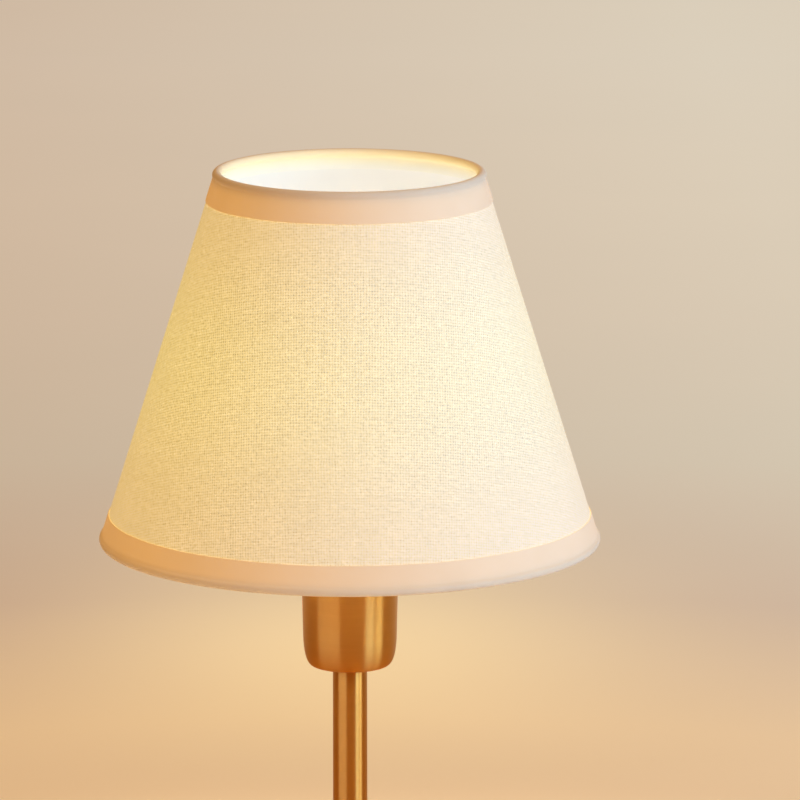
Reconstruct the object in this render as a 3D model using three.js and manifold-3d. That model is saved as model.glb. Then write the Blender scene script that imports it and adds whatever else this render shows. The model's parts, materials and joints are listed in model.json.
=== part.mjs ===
// Small table lamp: a tapered linen shade on a slim brass stem with a round weighted base.
// Millimetres, +Z up. The origin is the centre of the felt's underside, on the table.
// The lamp is a stack, so each level below is worked out from the one under it.

import * as THREE from 'three';
import { mergeVertices } from 'three/addons/utils/BufferGeometryUtils.js';
import Module from 'manifold-3d';

const wasm = await Module();
wasm.setup();

// Clearance between two pieces that rest on each other or fit in each other
const seat = 0.3;

// How far a cutting shape runs past the face that it cuts
const past = 1;

// Facets round a full turn, in multiples of four so that the extremes lie on X and Y
const wideFacets = 48;           // shade
const midFacets = 40;            // base, cup and stem
const fineFacets = 24;           // holder and bulb
const smallFacets = 16;          // rod, bushes and washers
const screwFacets = 12;          // screws and their holes
const wireFacets = 8;            // wire of the arms
const ringWireFacets = 6;        // wire of the two rings
const leadFacets = 6;

// Straight pieces that stand for a curve
const edgeSteps = 2;             // edges of the base
const curveSteps = 6;            // cup and globe
const tongueSteps = 7;
const rollSteps = 6;             // tape round its wire, one less on its inner side
const armSteps = 10;
const leadSteps = 48;

// Points closer than this are one point when a geometry becomes a solid
const weldDistance = 1e-4;

// Base
const feltThickness = 2;
const baseRadius = 60;
const baseHeight = 22;
const baseEdgeRound = 6;
const baseWall = 1;
const baseLift = 1.2;            // the shell's lower edge stands this far off the table
const pocketRadius = 26;         // hollow under the weight, for the nut and the terminal block
const webThickness = 6.7;        // iron left above that hollow
const channelWidth = 11;         // way from the hollow to the cord's bush
const channelHeight = 11.7;
const bushBore = 3.4;
const bushWall = 1.2;
const bushFlange = 1.9;          // how far the bush's flange laps over its hole
const bushFlangeThickness = 1.2;
const bushLength = 5;
const bushHeight = 8.5;          // bush axis above the table

// Terminal block
const blockWidth = 16;
const blockDepth = 10.5;
const blockHeight = 8.5;
const blockOffset = 13;          // its near face from the lamp's axis
const blockBore = 1.5;
const blockPitch = 10;           // between its two ways
const blockScrewRadius = 1.4;
const blockScrewHead = 2.6;
const blockScrewHeadHeight = 1.6;
const blockScrewGrip = 4;        // depth of the screw in the iron

// Hollow threaded rod with its nuts and washers
const rodRadius = 5;
const rodBore = 4;
const nutAcross = 14;
const nutHeight = 4;
const rodStub = 0.8;             // rod that shows below its lower nut
const washerThickness = 1.2;
const baseWasherRadius = 10.5;
const lockWasherRadius = 8.1;
const lockWasherTeeth = 10;
const lockToothDepth = 1;
const toothFlank = 0.1;          // share of a tooth's pitch that its sloping side takes
const screwSlotShare = 1 / 6;    // half width of a screw's slot, as a share of the head's radius

// Stem
const stemRadius = 7;
const stemWall = 0.6;
const stemLength = 142.2;
const stemBushHeight = 8;

// Socket cup, measured from its underside
const cupWall = 1;
const cupHeight = 48.2;
const cupRimRadius = 19.9;
const cupShoulderRadius = 19.1;  // where the straight wall ends
const cupShoulderHeight = 15.2;
const cupCornerRadius = 18.9;    // pull point of the lower corner's curve
const cupCornerHeight = 2.6;
const cupDomeRadius = 15.4;      // where the curve runs into the shallow dome
const cupDomeHeight = 1.7;
const cupSeatRadius = 8.6;       // flat that stands on the stem

// Lamp holder, heights measured from its foot
const holderStandoff = 6.4;      // rod left bare between the cup's nut and the holder
const holderHeight = 59.7;
const holderRadius = 15.2;
const holderWall = 1.4;
const holderBossRadius = 8.5;
const holderBossHeight = 10;
const holderCapHeight = 22;
const holderLedgeHeight = 17.5;   // step that carries the insulator
const holderLedgeWidth = 1.6;
const flangeHeight = 50.1;       // top of the flange that carries the shade
const flangeRadius = 17.5;
const flangeThickness = 1.5;
const threadRadius = 14;         // outside thread for the shade ring
const threadWall = 1.5;
const threadChamfer = 0.6;
const mouthRadius = 8.8;
const mouthWall = 1.5;
const grubRadius = 1.3;
const grubHeight = 5;
const grubStub = 0.7;

// Insulator and contacts
const insulatorDisc = 5;         // thickness of its round foot
const columnRadius = 7;
const columnHeadRadius = 8.6;
const columnHeadHeight = 3.7;
const columnHeadTaper = 1.6;
const wellRadius = 4.6;
const wellDepth = 8.7;
const contactThickness = 0.4;
const contactWidth = 4;
const contactPlay = 0.5;         // beside a strip in its slot, and off the shell
const riserHeight = 6;           // side contact above the shell's foot
const riserLean = 0.1;
const tongueSpring = 1.5;        // where the tongue's crest starts, off the axis
const tongueFoot = 0.2;          // share of its rise where the tongue leaves the wall
const tongueLean = 0.55;         // place of its upper bend, as shares of the well's radius
const tongueReach = 0.62;        // and of its rise
const terminalOffset = 10.9;
const terminalHead = 2.1;
const terminalHeadHeight = 1.4;
const terminalShank = 1.3;
const terminalDepth = 3.8;
const contactTail = 1.7;         // strip that runs on past its screw
const shellRadius = 7.6;         // screw shell that takes the bulb
const shellWall = 0.4;
const shellLip = 1.6;
const shellLipThickness = 0.5;
const shellRecess = 2;           // shell's top below the mouth

// Leads from the terminal block to the holder
const leadRadius = 1;
const leadSpacing = 3;
const leadBend = 4;
const leadDrop = 2.7;            // lead's axis below the rod's lower end
const leadHoleX = 9.2;           // holes in the insulator, beside the terminal screws
const leadHoleY = 4.6;
const leadPlay = 0.6;            // the holes are this much wider all round
const leadStart = 2;             // second point of the lead, off the terminal block
const leadSag = 0.4;             // and below it
const leadCurl = 0.3;            // middle of the lower bend, as a share of leadBend
const leadRise = 4;              // straight stretch above the lower bend
const leadTop = 6;               // straight stretch below the rod's upper end
const leadSettle = 0.6;          // below the insulator, where the lead stands upright again

// Shade carrier
const fitterClearance = 0.6;     // the hole is wider than the thread
const fitterRadius = 21.5;
const fitterThickness = 1.2;
const fitterRise = 10.7;         // underside of the fitter above the shade's lower edge
const armRadius = 1.2;
const armCount = 3;
const armBend = 9;               // level stretch before the arm slopes down
const armLevelShare = 0.6;       // share of that stretch that stays straight
const armSlopeShare = 0.08;      // share of the slope that the bend takes
const shadeRingHeight = 7.2;
const shadeRingFlange = 18.5;
const shadeRingFlangeHeight = 1.6;
const shadeRingRoot = 16.4;
const shadeRingRibDepth = 0.8;
const shadeRingRibs = 20;

// Shade, measured over its rolled edges
const shadeFootRadius = 101.5;
const shadeHeadRadius = 55;
const shadeHeight = 152.5;
const fabricThickness = 0.6;
const linerThickness = 0.4;
const wireRadius = 1.2;
const tapeThickness = 0.4;
const footBandDepth = 10.3;      // tape on the outside, along the slope from each wire
const headBandDepth = 11.5;
const hemDepth = 6.5;            // tape turned in on the inside

// Bulb, heights measured from its contact tip
const bulbInset = 24;            // tip below the holder's mouth
const bulbTipRadius = 2.4;
const bulbTipHeight = 1.6;
const bulbTipRound = 0.6;
const bulbInsulatorRim = 2;      // glass that stands inside the cap
const bulbCapRadius = 6.85;
const bulbCapWall = 0.4;
const bulbCapFoot = 4.3;
const bulbCapHead = 23;
const bulbCollarFootRadius = 7.4;
const bulbCollarHeadRadius = 14.6;
const bulbCollarHead = 42;
const bulbCollarStep = 0.7;      // rounding at the collar's two ends
const bulbCollarNeck = 3;
const bulbCollarRim = 5;
const bulbSpigotDepth = 10;
const bulbRadius = 17.5;
const bulbWidest = 58;
const bulbLength = 99;
const bulbShoulder = 14;         // pull of the curve above the widest place
const bulbPoint = 5.6;           // pull of the curve at the top, off the axis
const bulbWall = 0.9;
const boardInset = 2.6;
const boardThickness = 1.2;
const ledCount = 6;
const ledSize = 2.2;
const ledHeight = 0.7;
const ledCircle = 0.65;          // their circle, as a share of the board's radius

// Levels, from the table up
const weightFootZ = feltThickness + seat;
const webTopZ = baseHeight - baseWall - seat;
const webFootZ = webTopZ - webThickness;
const baseWasherZ = webFootZ - seat - washerThickness;
const baseNutZ = baseWasherZ - seat - nutHeight;
const rodFootZ = baseNutZ - rodStub;
const stemFootZ = baseHeight + seat;
const stemHeadZ = stemFootZ + stemLength;
const cupFootZ = stemHeadZ + seat;
const cupRimZ = cupFootZ + cupHeight;
const lockWasherZ = cupFootZ + cupWall + seat;
const cupNutZ = lockWasherZ + washerThickness + seat;
const holderFootZ = cupNutZ + nutHeight + holderStandoff;
const rodHeadZ = holderFootZ + holderBossHeight;
const insulatorZ = holderFootZ + holderLedgeHeight + seat;
const discTopZ = insulatorZ + insulatorDisc;
const contactZ = discTopZ + seat;
const mouthZ = holderFootZ + holderHeight;
const bulbTipZ = mouthZ - bulbInset;
const columnTopZ = bulbTipZ - bulbTipHeight - contactThickness - seat;
const shellFootZ = columnTopZ + seat;
const flangeTopZ = holderFootZ + flangeHeight;
const fitterZ = flangeTopZ + seat;
const shadeRingZ = fitterZ + fitterThickness + seat;
const shadeFootZ = fitterZ - fitterRise;
const shadeHeadZ = shadeFootZ + shadeHeight;

// The two wire rings and the slope of the wall between them
const rollRadius = wireRadius + seat + tapeThickness;
const footWire = new THREE.Vector2(shadeFootRadius - rollRadius, shadeFootZ + rollRadius);
const headWire = new THREE.Vector2(shadeHeadRadius - rollRadius, shadeHeadZ - rollRadius);
const wallUp = headWire.clone().sub(footWire).normalize();
const wallOut = new THREE.Vector2(wallUp.y, -wallUp.x);
const panelHalf = (fabricThickness + seat + linerThickness) / 2;

// Finishes, as the photograph shows them
const finish = (color, roughness, metalness = 0) =>
  new THREE.MeshStandardMaterial({ color, roughness, metalness });
const brass = finish(0xb98a4c, 0.38, 1);
const steel = finish(0xb9bbbd, 0.35, 1);
const iron = finish(0x4a4a4c, 0.8, 0.6);
const whiteWire = finish(0xf1eee6, 0.5);
const linen = finish(0xf3e6cb, 0.95);
const liner = finish(0xfaf6ea, 0.6);
const tape = finish(0xe6c9a6, 0.85);
const felt = finish(0x3a3632, 1);
const holderPlastic = finish(0xefece4, 0.45);
const ceramicWhite = finish(0xf4f2ec, 0.5);
const contactBrass = finish(0xc9a35a, 0.3, 1);
const blackPlastic = finish(0x1d1d1e, 0.6);
const brownLead = finish(0x6b4126, 0.5);
const blueLead = finish(0x2c4f86, 0.5);
const bulbPlastic = finish(0xf5f4f0, 0.4);
const opal = finish(0xfff6e2, 0.35);
const boardWhite = finish(0xe9ece8, 0.5);

const lamp = new THREE.Group();

function addMesh(name, geometry, material, parent = lamp) {
  const mesh = new THREE.Mesh(geometry, material);
  mesh.name = name;
  parent.add(mesh);
  return mesh;
}

// Points of a profile in the plane of radius and height
const at = (radius, height) => new THREE.Vector2(radius, height);

// Revolve a profile about Z. It closes on itself unless it starts and ends on the axis.
function revolve(profile, facets = fineFacets) {
  const points = [...profile];
  const first = points[0];
  const last = points[points.length - 1];
  const onAxis = first.x === 0 && last.x === 0;
  if (!onAxis && !first.equals(last)) points.push(first.clone());
  if (THREE.ShapeUtils.area(points) < 0) points.reverse();
  return new THREE.LatheGeometry(points, facets).rotateX(Math.PI / 2);
}

// Plain ring or tube between two radii and two heights
function ring(inner, outer, foot, head, facets = fineFacets) {
  return revolve([at(inner, foot), at(outer, foot), at(outer, head), at(inner, head)], facets);
}

function disc(radius, foot, head, facets = fineFacets) {
  return revolve([at(0, foot), at(radius, foot), at(radius, head), at(0, head)], facets);
}

// Give an open line a wall on its left side: each corner moves along its mitre
function thicken(line, wall) {
  const moved = line.map((point, i) => {
    const before = line[Math.max(i - 1, 0)];
    const after = line[Math.min(i + 1, line.length - 1)];
    const back = point.clone().sub(before).normalize();
    const ahead = after.clone().sub(point).normalize();
    const inward = back.lengthSq() ? back : ahead;
    const outward = ahead.lengthSq() ? ahead : back;
    const mitre = at(-inward.y - outward.y, inward.x + outward.x).normalize();
    const spread = mitre.dot(at(-inward.y, inward.x));
    return point.clone().addScaledVector(mitre, wall / spread);
  });
  return [...line, ...moved.reverse()];
}

// Closed geometry to solid and back, for cuts and joins
function solid(geometry) {
  const bare = geometry.clone();
  bare.deleteAttribute('normal');
  bare.deleteAttribute('uv');
  const merged = mergeVertices(bare, weldDistance);
  const vertProperties = new Float32Array(merged.attributes.position.array);
  const triVerts = new Uint32Array(merged.index.array);
  return new wasm.Manifold(new wasm.Mesh({ numProp: 3, vertProperties, triVerts }));
}

function geometryOf(body) {
  const mesh = body.getMesh();
  const geometry = new THREE.BufferGeometry();
  geometry.setAttribute('position', new THREE.BufferAttribute(mesh.vertProperties, mesh.numProp));
  geometry.setIndex(new THREE.BufferAttribute(mesh.triVerts, 1));
  return geometry;
}

const cut = (blank, ...tools) =>
  geometryOf(tools.reduce((body, tool) => body.subtract(solid(tool)), solid(blank)));
const join = (...pieces) =>
  geometryOf(pieces.slice(1).reduce((body, piece) => body.add(solid(piece)), solid(pieces[0])));

// Box between two corners
function block(low, high) {
  const size = high.map((value, i) => value - low[i]);
  const middle = high.map((value, i) => (value + low[i]) / 2);
  return new THREE.BoxGeometry(...size).translate(...middle);
}

// Round bar along X or Y, from one place on that axis to another
function bar(radius, from, to, axis, facets = smallFacets) {
  const rod = new THREE.CylinderGeometry(radius, radius, to - from, facets);
  if (axis === 'y') return rod.translate(0, (from + to) / 2, 0);
  return rod.rotateZ(-Math.PI / 2).translate((from + to) / 2, 0, 0);
}

// Flat outline with an optional round hole, raised from one height to another
function plate(outline, holeRadius, foot, head) {
  const shape = new THREE.Shape(outline);
  if (holeRadius) {
    const hole = new THREE.Path();
    hole.absarc(0, 0, holeRadius, 0, Math.PI * 2, true);
    shape.holes.push(hole);
  }
  const settings = { depth: head - foot, bevelEnabled: false, curveSegments: fineFacets / 2 };
  return new THREE.ExtrudeGeometry(shape, settings).translate(0, 0, foot);
}

const polar = (radius, angle) => at(radius * Math.cos(angle), radius * Math.sin(angle));

function hexNut(foot) {
  const corners = Array.from({ length: 6 }, (_, i) =>
    polar(nutAcross / Math.sqrt(3), (i * Math.PI) / 3));
  return plate(corners, rodRadius + seat, foot, foot + nutHeight);
}

// Outline with square teeth: each tooth has a crest and a root of equal width
function toothed(root, crest, teeth) {
  const pitch = (2 * Math.PI) / teeth;
  const outline = [];
  for (let i = 0; i < teeth; i += 1) {
    outline.push(polar(root, i * pitch), polar(root, (i + 0.5 - toothFlank) * pitch));
    outline.push(polar(crest, (i + 0.5) * pitch), polar(crest, (i + 1 - toothFlank) * pitch));
  }
  return outline;
}

// Cheese-head screw pointing down, with its slot; the head stands on the given height
function screw(head, headHeight, shank, length, seatZ) {
  const outline = [
    at(0, seatZ - length), at(shank, seatZ - length), at(shank, seatZ),
    at(head, seatZ), at(head, seatZ + headHeight), at(0, seatZ + headHeight),
  ];
  const slotHalf = head * screwSlotShare;
  const slot = block(
    [-head - past, -slotHalf, seatZ + headHeight / 2],
    [head + past, slotHalf, seatZ + headHeight + past]);
  return cut(revolve(outline, screwFacets), slot);
}

// Base: spun shell over an iron weight, felt under it, a bush for the cord at the back

function baseOutline() {
  const path = new THREE.Path();
  path.moveTo(baseRadius, baseLift);
  path.lineTo(baseRadius, baseHeight - baseEdgeRound);
  path.absarc(baseRadius - baseEdgeRound, baseHeight - baseEdgeRound, baseEdgeRound,
    0, Math.PI / 2, false);
  path.lineTo(rodRadius + seat, baseHeight);
  return path.getPoints(edgeSteps);
}

function addBase() {
  addMesh('felt_pad', disc(baseRadius - baseWall - seat, 0, feltThickness, midFacets), felt);

  const bushHole = bushBore + bushWall + seat;
  const hole = bar(bushHole, baseRadius - baseWall - past, baseRadius + past, 'y')
    .translate(0, 0, bushHeight);
  const shell = revolve(thicken(baseOutline(), baseWall), midFacets);
  addMesh('base_shell', cut(shell, hole), brass);

  const reach = baseRadius - baseWall - seat;
  const round = baseEdgeRound - baseWall - seat;
  const path = new THREE.Path();
  path.moveTo(pocketRadius, weightFootZ);
  path.lineTo(reach, weightFootZ);
  path.lineTo(reach, webTopZ - round);
  path.absarc(reach - round, webTopZ - round, round, 0, Math.PI / 2, false);
  path.lineTo(rodRadius + seat, webTopZ);
  path.lineTo(rodRadius + seat, webFootZ);
  path.lineTo(pocketRadius, webFootZ);
  const casting = revolve(path.getPoints(edgeSteps), midFacets);
  const channel = block(
    [-channelWidth / 2, pocketRadius / 2, weightFootZ - past],
    [channelWidth / 2, baseRadius + past, weightFootZ + channelHeight]);
  const screwHole = disc(blockScrewRadius + seat, webFootZ - past,
    webFootZ + blockScrewGrip + seat, screwFacets).translate(0, blockOffset + blockDepth / 2, 0);
  addMesh('base_weight', cut(casting, channel, screwHole), iron);

  const bushOuter = bushBore + bushWall;
  const bushFace = baseRadius + seat + bushFlangeThickness;
  const bush = revolve([
    at(bushBore, 0), at(bushHole + bushFlange, 0), at(bushHole + bushFlange, bushFlangeThickness),
    at(bushOuter, bushFlangeThickness), at(bushOuter, bushLength), at(bushBore, bushLength),
  ], smallFacets);
  bush.rotateX(Math.PI / 2).translate(0, bushFace, bushHeight);
  addMesh('cord_inlet_bush', bush, blackPlastic);
}

function addTerminalBlock() {
  const top = webFootZ - seat;
  const foot = top - blockHeight;
  const middleY = blockOffset + blockDepth / 2;
  const body = block(
    [-blockWidth / 2, blockOffset, foot], [blockWidth / 2, blockOffset + blockDepth, top]);
  const ways = [-1, 1].map((side) =>
    bar(blockBore, blockOffset - past, blockOffset + blockDepth + past, 'y', screwFacets)
      .translate((side * blockPitch) / 2, 0, foot + blockHeight / 2));
  const through = disc(blockScrewRadius + seat, foot - past, top + past, screwFacets)
    .translate(0, middleY, 0);
  addMesh('terminal_block', cut(body, ...ways, through), blackPlastic);

  const length = blockHeight + seat + seat + blockScrewGrip;
  const fixing = screw(blockScrewHead, blockScrewHeadHeight, blockScrewRadius, length, 0);
  fixing.rotateX(Math.PI).translate(0, middleY, foot - seat);
  addMesh('terminal_block_screw', fixing, steel);
}

// Stem: hollow rod from the base nut to the holder, with the brass tube round it

function addStem() {
  addMesh('threaded_rod', ring(rodBore, rodRadius, rodFootZ, rodHeadZ, smallFacets), steel);
  addMesh('base_nut', hexNut(baseNutZ), steel);
  addMesh('base_washer', ring(rodRadius + seat, baseWasherRadius, baseWasherZ,
    baseWasherZ + washerThickness, smallFacets), steel);

  const bore = stemRadius - stemWall;
  addMesh('stem_tube', ring(bore, stemRadius, stemFootZ, stemHeadZ, midFacets), brass);
  const bush = (foot) => ring(rodRadius + seat, bore - seat, foot, foot + stemBushHeight, smallFacets);
  addMesh('stem_foot_bush', bush(stemFootZ), blackPlastic);
  addMesh('stem_head_bush', bush(stemHeadZ - stemBushHeight), blackPlastic);
}

// Socket cup: a flat to stand on the stem, a shallow dome, a curved corner, a tapered wall

function addCup() {
  const path = new THREE.Path();
  path.moveTo(rodRadius + seat, cupFootZ);
  path.lineTo(cupSeatRadius, cupFootZ);
  path.lineTo(cupDomeRadius, cupFootZ + cupDomeHeight);
  path.quadraticCurveTo(cupCornerRadius, cupFootZ + cupCornerHeight,
    cupShoulderRadius, cupFootZ + cupShoulderHeight);
  path.lineTo(cupRimRadius, cupRimZ);
  addMesh('socket_cup', revolve(thicken(path.getPoints(curveSteps), cupWall), midFacets), brass);

  const teeth = toothed(lockWasherRadius - lockToothDepth, lockWasherRadius, lockWasherTeeth);
  addMesh('cup_lock_washer',
    plate(teeth, rodRadius + seat, lockWasherZ, lockWasherZ + washerThickness), steel);
  addMesh('cup_nut', hexNut(cupNutZ), steel);
}

// Lamp holder: cap screwed to the rod, insulator with the contacts, sleeve with the shade thread

function addHolder() {
  const floorZ = holderFootZ + holderBossHeight;
  const ledgeZ = holderFootZ + holderLedgeHeight;
  const capTopZ = holderFootZ + holderCapHeight;
  const bore = holderRadius - holderWall;
  const cap = revolve([
    at(rodRadius + seat, holderFootZ), at(holderBossRadius, holderFootZ),
    at(holderBossRadius, floorZ - holderWall), at(holderRadius, floorZ + holderWall),
    at(holderRadius, capTopZ), at(bore, capTopZ), at(bore, ledgeZ),
    at(bore - holderLedgeWidth, ledgeZ), at(bore - holderLedgeWidth, floorZ + holderWall),
    at(rodRadius + seat, floorZ),
  ]);
  const grubZ = holderFootZ + grubHeight;
  const grubHole = bar(grubRadius + seat, -holderBossRadius - past, -rodRadius, 'y', screwFacets)
    .translate(0, 0, grubZ);
  addMesh('holder_cap', cut(cap, grubHole), holderPlastic);
  addMesh('holder_grub_screw',
    bar(grubRadius, -holderBossRadius - grubStub, -rodRadius - seat, 'y', screwFacets)
      .translate(0, 0, grubZ), steel);

  const sleeveFoot = capTopZ + seat;
  const flangeFoot = flangeTopZ - flangeThickness;
  const sleeve = revolve([
    at(bore, sleeveFoot), at(holderRadius, sleeveFoot), at(holderRadius, flangeFoot),
    at(flangeRadius, flangeFoot), at(flangeRadius, flangeTopZ), at(threadRadius, flangeTopZ),
    at(threadRadius, mouthZ - threadChamfer), at(threadRadius - threadChamfer, mouthZ),
    at(mouthRadius, mouthZ),
    at(mouthRadius, mouthZ - mouthWall), at(threadRadius - threadWall, mouthZ - mouthWall),
    at(threadRadius - threadWall, flangeFoot), at(bore, flangeFoot - holderWall),
  ]);
  addMesh('holder_sleeve', sleeve, holderPlastic);
}

// The insulator's head is notched for the side contact, and its column is slotted and
// drilled for the spring tongue under the bulb's tip.
function addContacts() {
  const discRadius = holderRadius - holderWall - seat;
  const headFootZ = columnTopZ - columnHeadHeight;
  const insulator = revolve([
    at(0, insulatorZ), at(discRadius, insulatorZ), at(discRadius, discTopZ),
    at(columnRadius, discTopZ), at(columnRadius, headFootZ),
    at(columnHeadRadius, headFootZ + columnHeadTaper), at(columnHeadRadius, columnTopZ),
    at(0, columnTopZ),
  ]);
  const slotHalf = contactWidth / 2 + contactPlay;
  const riserX = shellRadius + contactPlay;
  const well = disc(wellRadius, columnTopZ - wellDepth, columnTopZ + past);
  const slot = block([0, -slotHalf, discTopZ], [columnHeadRadius + past, slotHalf, columnTopZ + past]);
  const notch = block(
    [-columnHeadRadius - past, -slotHalf, discTopZ],
    [-riserX + seat, slotHalf, columnTopZ + past]);
  const screwHoles = [-1, 1].map((side) =>
    disc(terminalShank + seat, discTopZ - terminalDepth - seat, discTopZ + past, screwFacets)
      .translate(side * terminalOffset, 0, 0));
  const leadHoles = [-1, 1].map((side) =>
    disc(leadRadius + leadPlay, insulatorZ - past, discTopZ + past, screwFacets)
      .translate(side * leadHoleX, -leadHoleY, 0));
  addMesh('holder_insulator', cut(insulator, well, slot, notch, ...screwHoles, ...leadHoles),
    ceramicWhite);

  // A contact is a strip bent in the XZ plane; its foot is drilled for the terminal screw
  const strip = (line, side) => {
    const outline = thicken(line, contactThickness);
    if (THREE.ShapeUtils.area(outline) < 0) outline.reverse();
    const settings = { depth: contactWidth, bevelEnabled: false };
    const bent = new THREE.ExtrudeGeometry(new THREE.Shape(outline), settings)
      .rotateX(Math.PI / 2).translate(0, contactWidth / 2, 0);
    const drill = disc(terminalShank + seat, contactZ - past, contactZ + past, screwFacets)
      .translate(side * terminalOffset, 0, 0);
    return cut(bent, drill);
  };
  const tailX = terminalOffset + contactTail;
  const riserTopZ = shellFootZ + riserHeight;
  addMesh('side_contact', strip([
    at(-tailX, contactZ), at(-riserX, contactZ), at(-riserX, riserTopZ - riserHeight / 2),
    at(-riserX + riserLean, riserTopZ),
  ], -1), contactBrass);

  const tongueTopZ = bulbTipZ - seat - contactThickness;
  const rise = tongueTopZ - contactZ;
  const tongue = new THREE.SplineCurve([
    at((columnRadius + wellRadius) / 2, contactZ), at(wellRadius, contactZ + rise * tongueFoot),
    at(wellRadius * tongueLean, contactZ + rise * tongueReach),
    at(tongueSpring, tongueTopZ - contactThickness), at(-tongueSpring, tongueTopZ),
  ]);
  addMesh('centre_contact',
    strip([at(-tongueSpring * 2, tongueTopZ - contactThickness),
      ...tongue.getPoints(tongueSteps).reverse(), at(tailX, contactZ)], 1),
    contactBrass);

  const headSeatZ = contactZ + contactThickness + seat;
  const shankLength = headSeatZ - discTopZ + terminalDepth;
  [-1, 1].forEach((side, i) => {
    const fixing = screw(terminalHead, terminalHeadHeight, terminalShank, shankLength, headSeatZ);
    addMesh(`terminal_screw_${i + 1}`, fixing.translate(side * terminalOffset, 0, 0), steel);
  });

  const inner = shellRadius - shellWall;
  const shellTopZ = mouthZ - shellRecess;
  addMesh('screw_shell', revolve([
    at(shellRadius - shellLip - shellWall, shellFootZ), at(shellRadius, shellFootZ),
    at(shellRadius, shellTopZ), at(inner, shellTopZ), at(inner, shellFootZ + shellLipThickness),
    at(shellRadius - shellLip - shellWall, shellFootZ + shellLipThickness),
  ]), contactBrass);
}

// Leads: out of the terminal block, under the rod, up its bore and out to the terminals
function addLeads() {
  const blockZ = webFootZ - seat - blockHeight / 2;
  const lowZ = rodFootZ - leadDrop;
  const section = new THREE.Shape(Array.from({ length: leadFacets }, (_, i) =>
    polar(leadRadius, (i * 2 * Math.PI) / leadFacets)));
  [['neutral_lead', -1, blueLead], ['live_lead', 1, brownLead]].forEach(([name, side, colour]) => {
    const x = (side * leadSpacing) / 2;
    const blockX = (side * blockPitch) / 2;
    const endX = side * leadHoleX;
    const spread = insulatorZ - rodHeadZ;
    const route = new THREE.CatmullRomCurve3([
      [blockX, blockOffset - seat, blockZ],
      [blockX, blockOffset - leadStart, blockZ - leadSag],
      [(blockX + x) / 2, rodRadius + leadBend, (blockZ + lowZ) / 2],
      [x, leadBend, lowZ],
      [x, leadBend * leadCurl, lowZ + leadBend * leadCurl],
      [x, 0, lowZ + leadBend],
      [x, 0, rodFootZ + leadBend + leadRise],
      [x, 0, (rodFootZ + rodHeadZ) / 2],
      [x, 0, rodHeadZ - leadTop],
      [x, 0, rodHeadZ],
      [(x + endX) / 2, -leadHoleY / 2, rodHeadZ + spread / 2],
      [endX, -leadHoleY, insulatorZ - leadSettle],
      [endX, -leadHoleY, insulatorZ + insulatorDisc / 2],
      [endX, -leadHoleY, contactZ + contactThickness],
    ].map((point) => new THREE.Vector3(...point)), false, 'centripetal');
    const settings = { steps: leadSteps, bevelEnabled: false, extrudePath: route };
    addMesh(name, new THREE.ExtrudeGeometry(section, settings), colour);
  });
}

// Shade carrier: a pressed ring on the holder's flange, with welded arms to the lower wire

function armCurve(angle) {
  const outward = new THREE.Vector3(Math.cos(angle), Math.sin(angle), 0);
  const levelZ = fitterZ - seat - armRadius;
  const place = (radius, height) => outward.clone().multiplyScalar(radius).setZ(height);
  const start = place(flangeRadius + seat, levelZ);
  const bend = place(fitterRadius + armBend, levelZ);
  const end = place(footWire.x - wireRadius - seat, footWire.y);
  const path = new THREE.CurvePath();
  const level = start.clone().lerp(bend, armLevelShare);
  const slope = bend.clone().lerp(end, armSlopeShare);
  path.add(new THREE.LineCurve3(start, level));
  path.add(new THREE.QuadraticBezierCurve3(level, bend, slope));
  path.add(new THREE.LineCurve3(slope, end));
  return { path, bend, end };
}

// Round rod along a straight line
function rodBetween(from, to, radius) {
  const along = to.clone().sub(from);
  const rod = new THREE.CylinderGeometry(radius, radius, along.length(), screwFacets);
  const turn = new THREE.Quaternion().setFromUnitVectors(
    new THREE.Vector3(0, 1, 0), along.clone().normalize());
  const middle = from.clone().add(to).multiplyScalar(0.5);
  return rod.applyQuaternion(turn).translate(...middle.toArray());
}

const armAngles = Array.from({ length: armCount }, (_, i) =>
  Math.PI / 2 + (i * 2 * Math.PI) / armCount);

function addShadeCarrier() {
  const hole = threadRadius + fitterClearance;
  addMesh('fitter_ring', ring(hole, fitterRadius, fitterZ, fitterZ + fitterThickness), whiteWire);

  const section = new THREE.Shape(Array.from({ length: wireFacets }, (_, i) =>
    polar(armRadius, (i * 2 * Math.PI) / wireFacets)));
  armAngles.forEach((angle, i) => {
    const { path } = armCurve(angle);
    const settings = { steps: armSteps, bevelEnabled: false, extrudePath: path };
    addMesh(`fitter_arm_${i + 1}`, new THREE.ExtrudeGeometry(section, settings), whiteWire);
  });

  const bore = threadRadius + seat;
  const ribs = toothed(shadeRingRoot, shadeRingRoot + shadeRingRibDepth, shadeRingRibs);
  const body = plate(ribs, bore, shadeRingZ, shadeRingZ + shadeRingHeight);
  const flange = ring((bore + shadeRingRoot) / 2, shadeRingFlange,
    shadeRingZ, shadeRingZ + shadeRingFlangeHeight);
  addMesh('shade_ring', join(body, flange), holderPlastic);
}

// Shade: linen on a stiff liner, held at both ends by a wire ring under a rolled tape

// Point beside a wire: so far along the wall from it, and so far out of the wall
function besideWire(wire, along, out) {
  const inward = wire === footWire ? 1 : -1;
  return wire.clone().addScaledVector(wallUp, along * inward).addScaledVector(wallOut, out);
}

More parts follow.
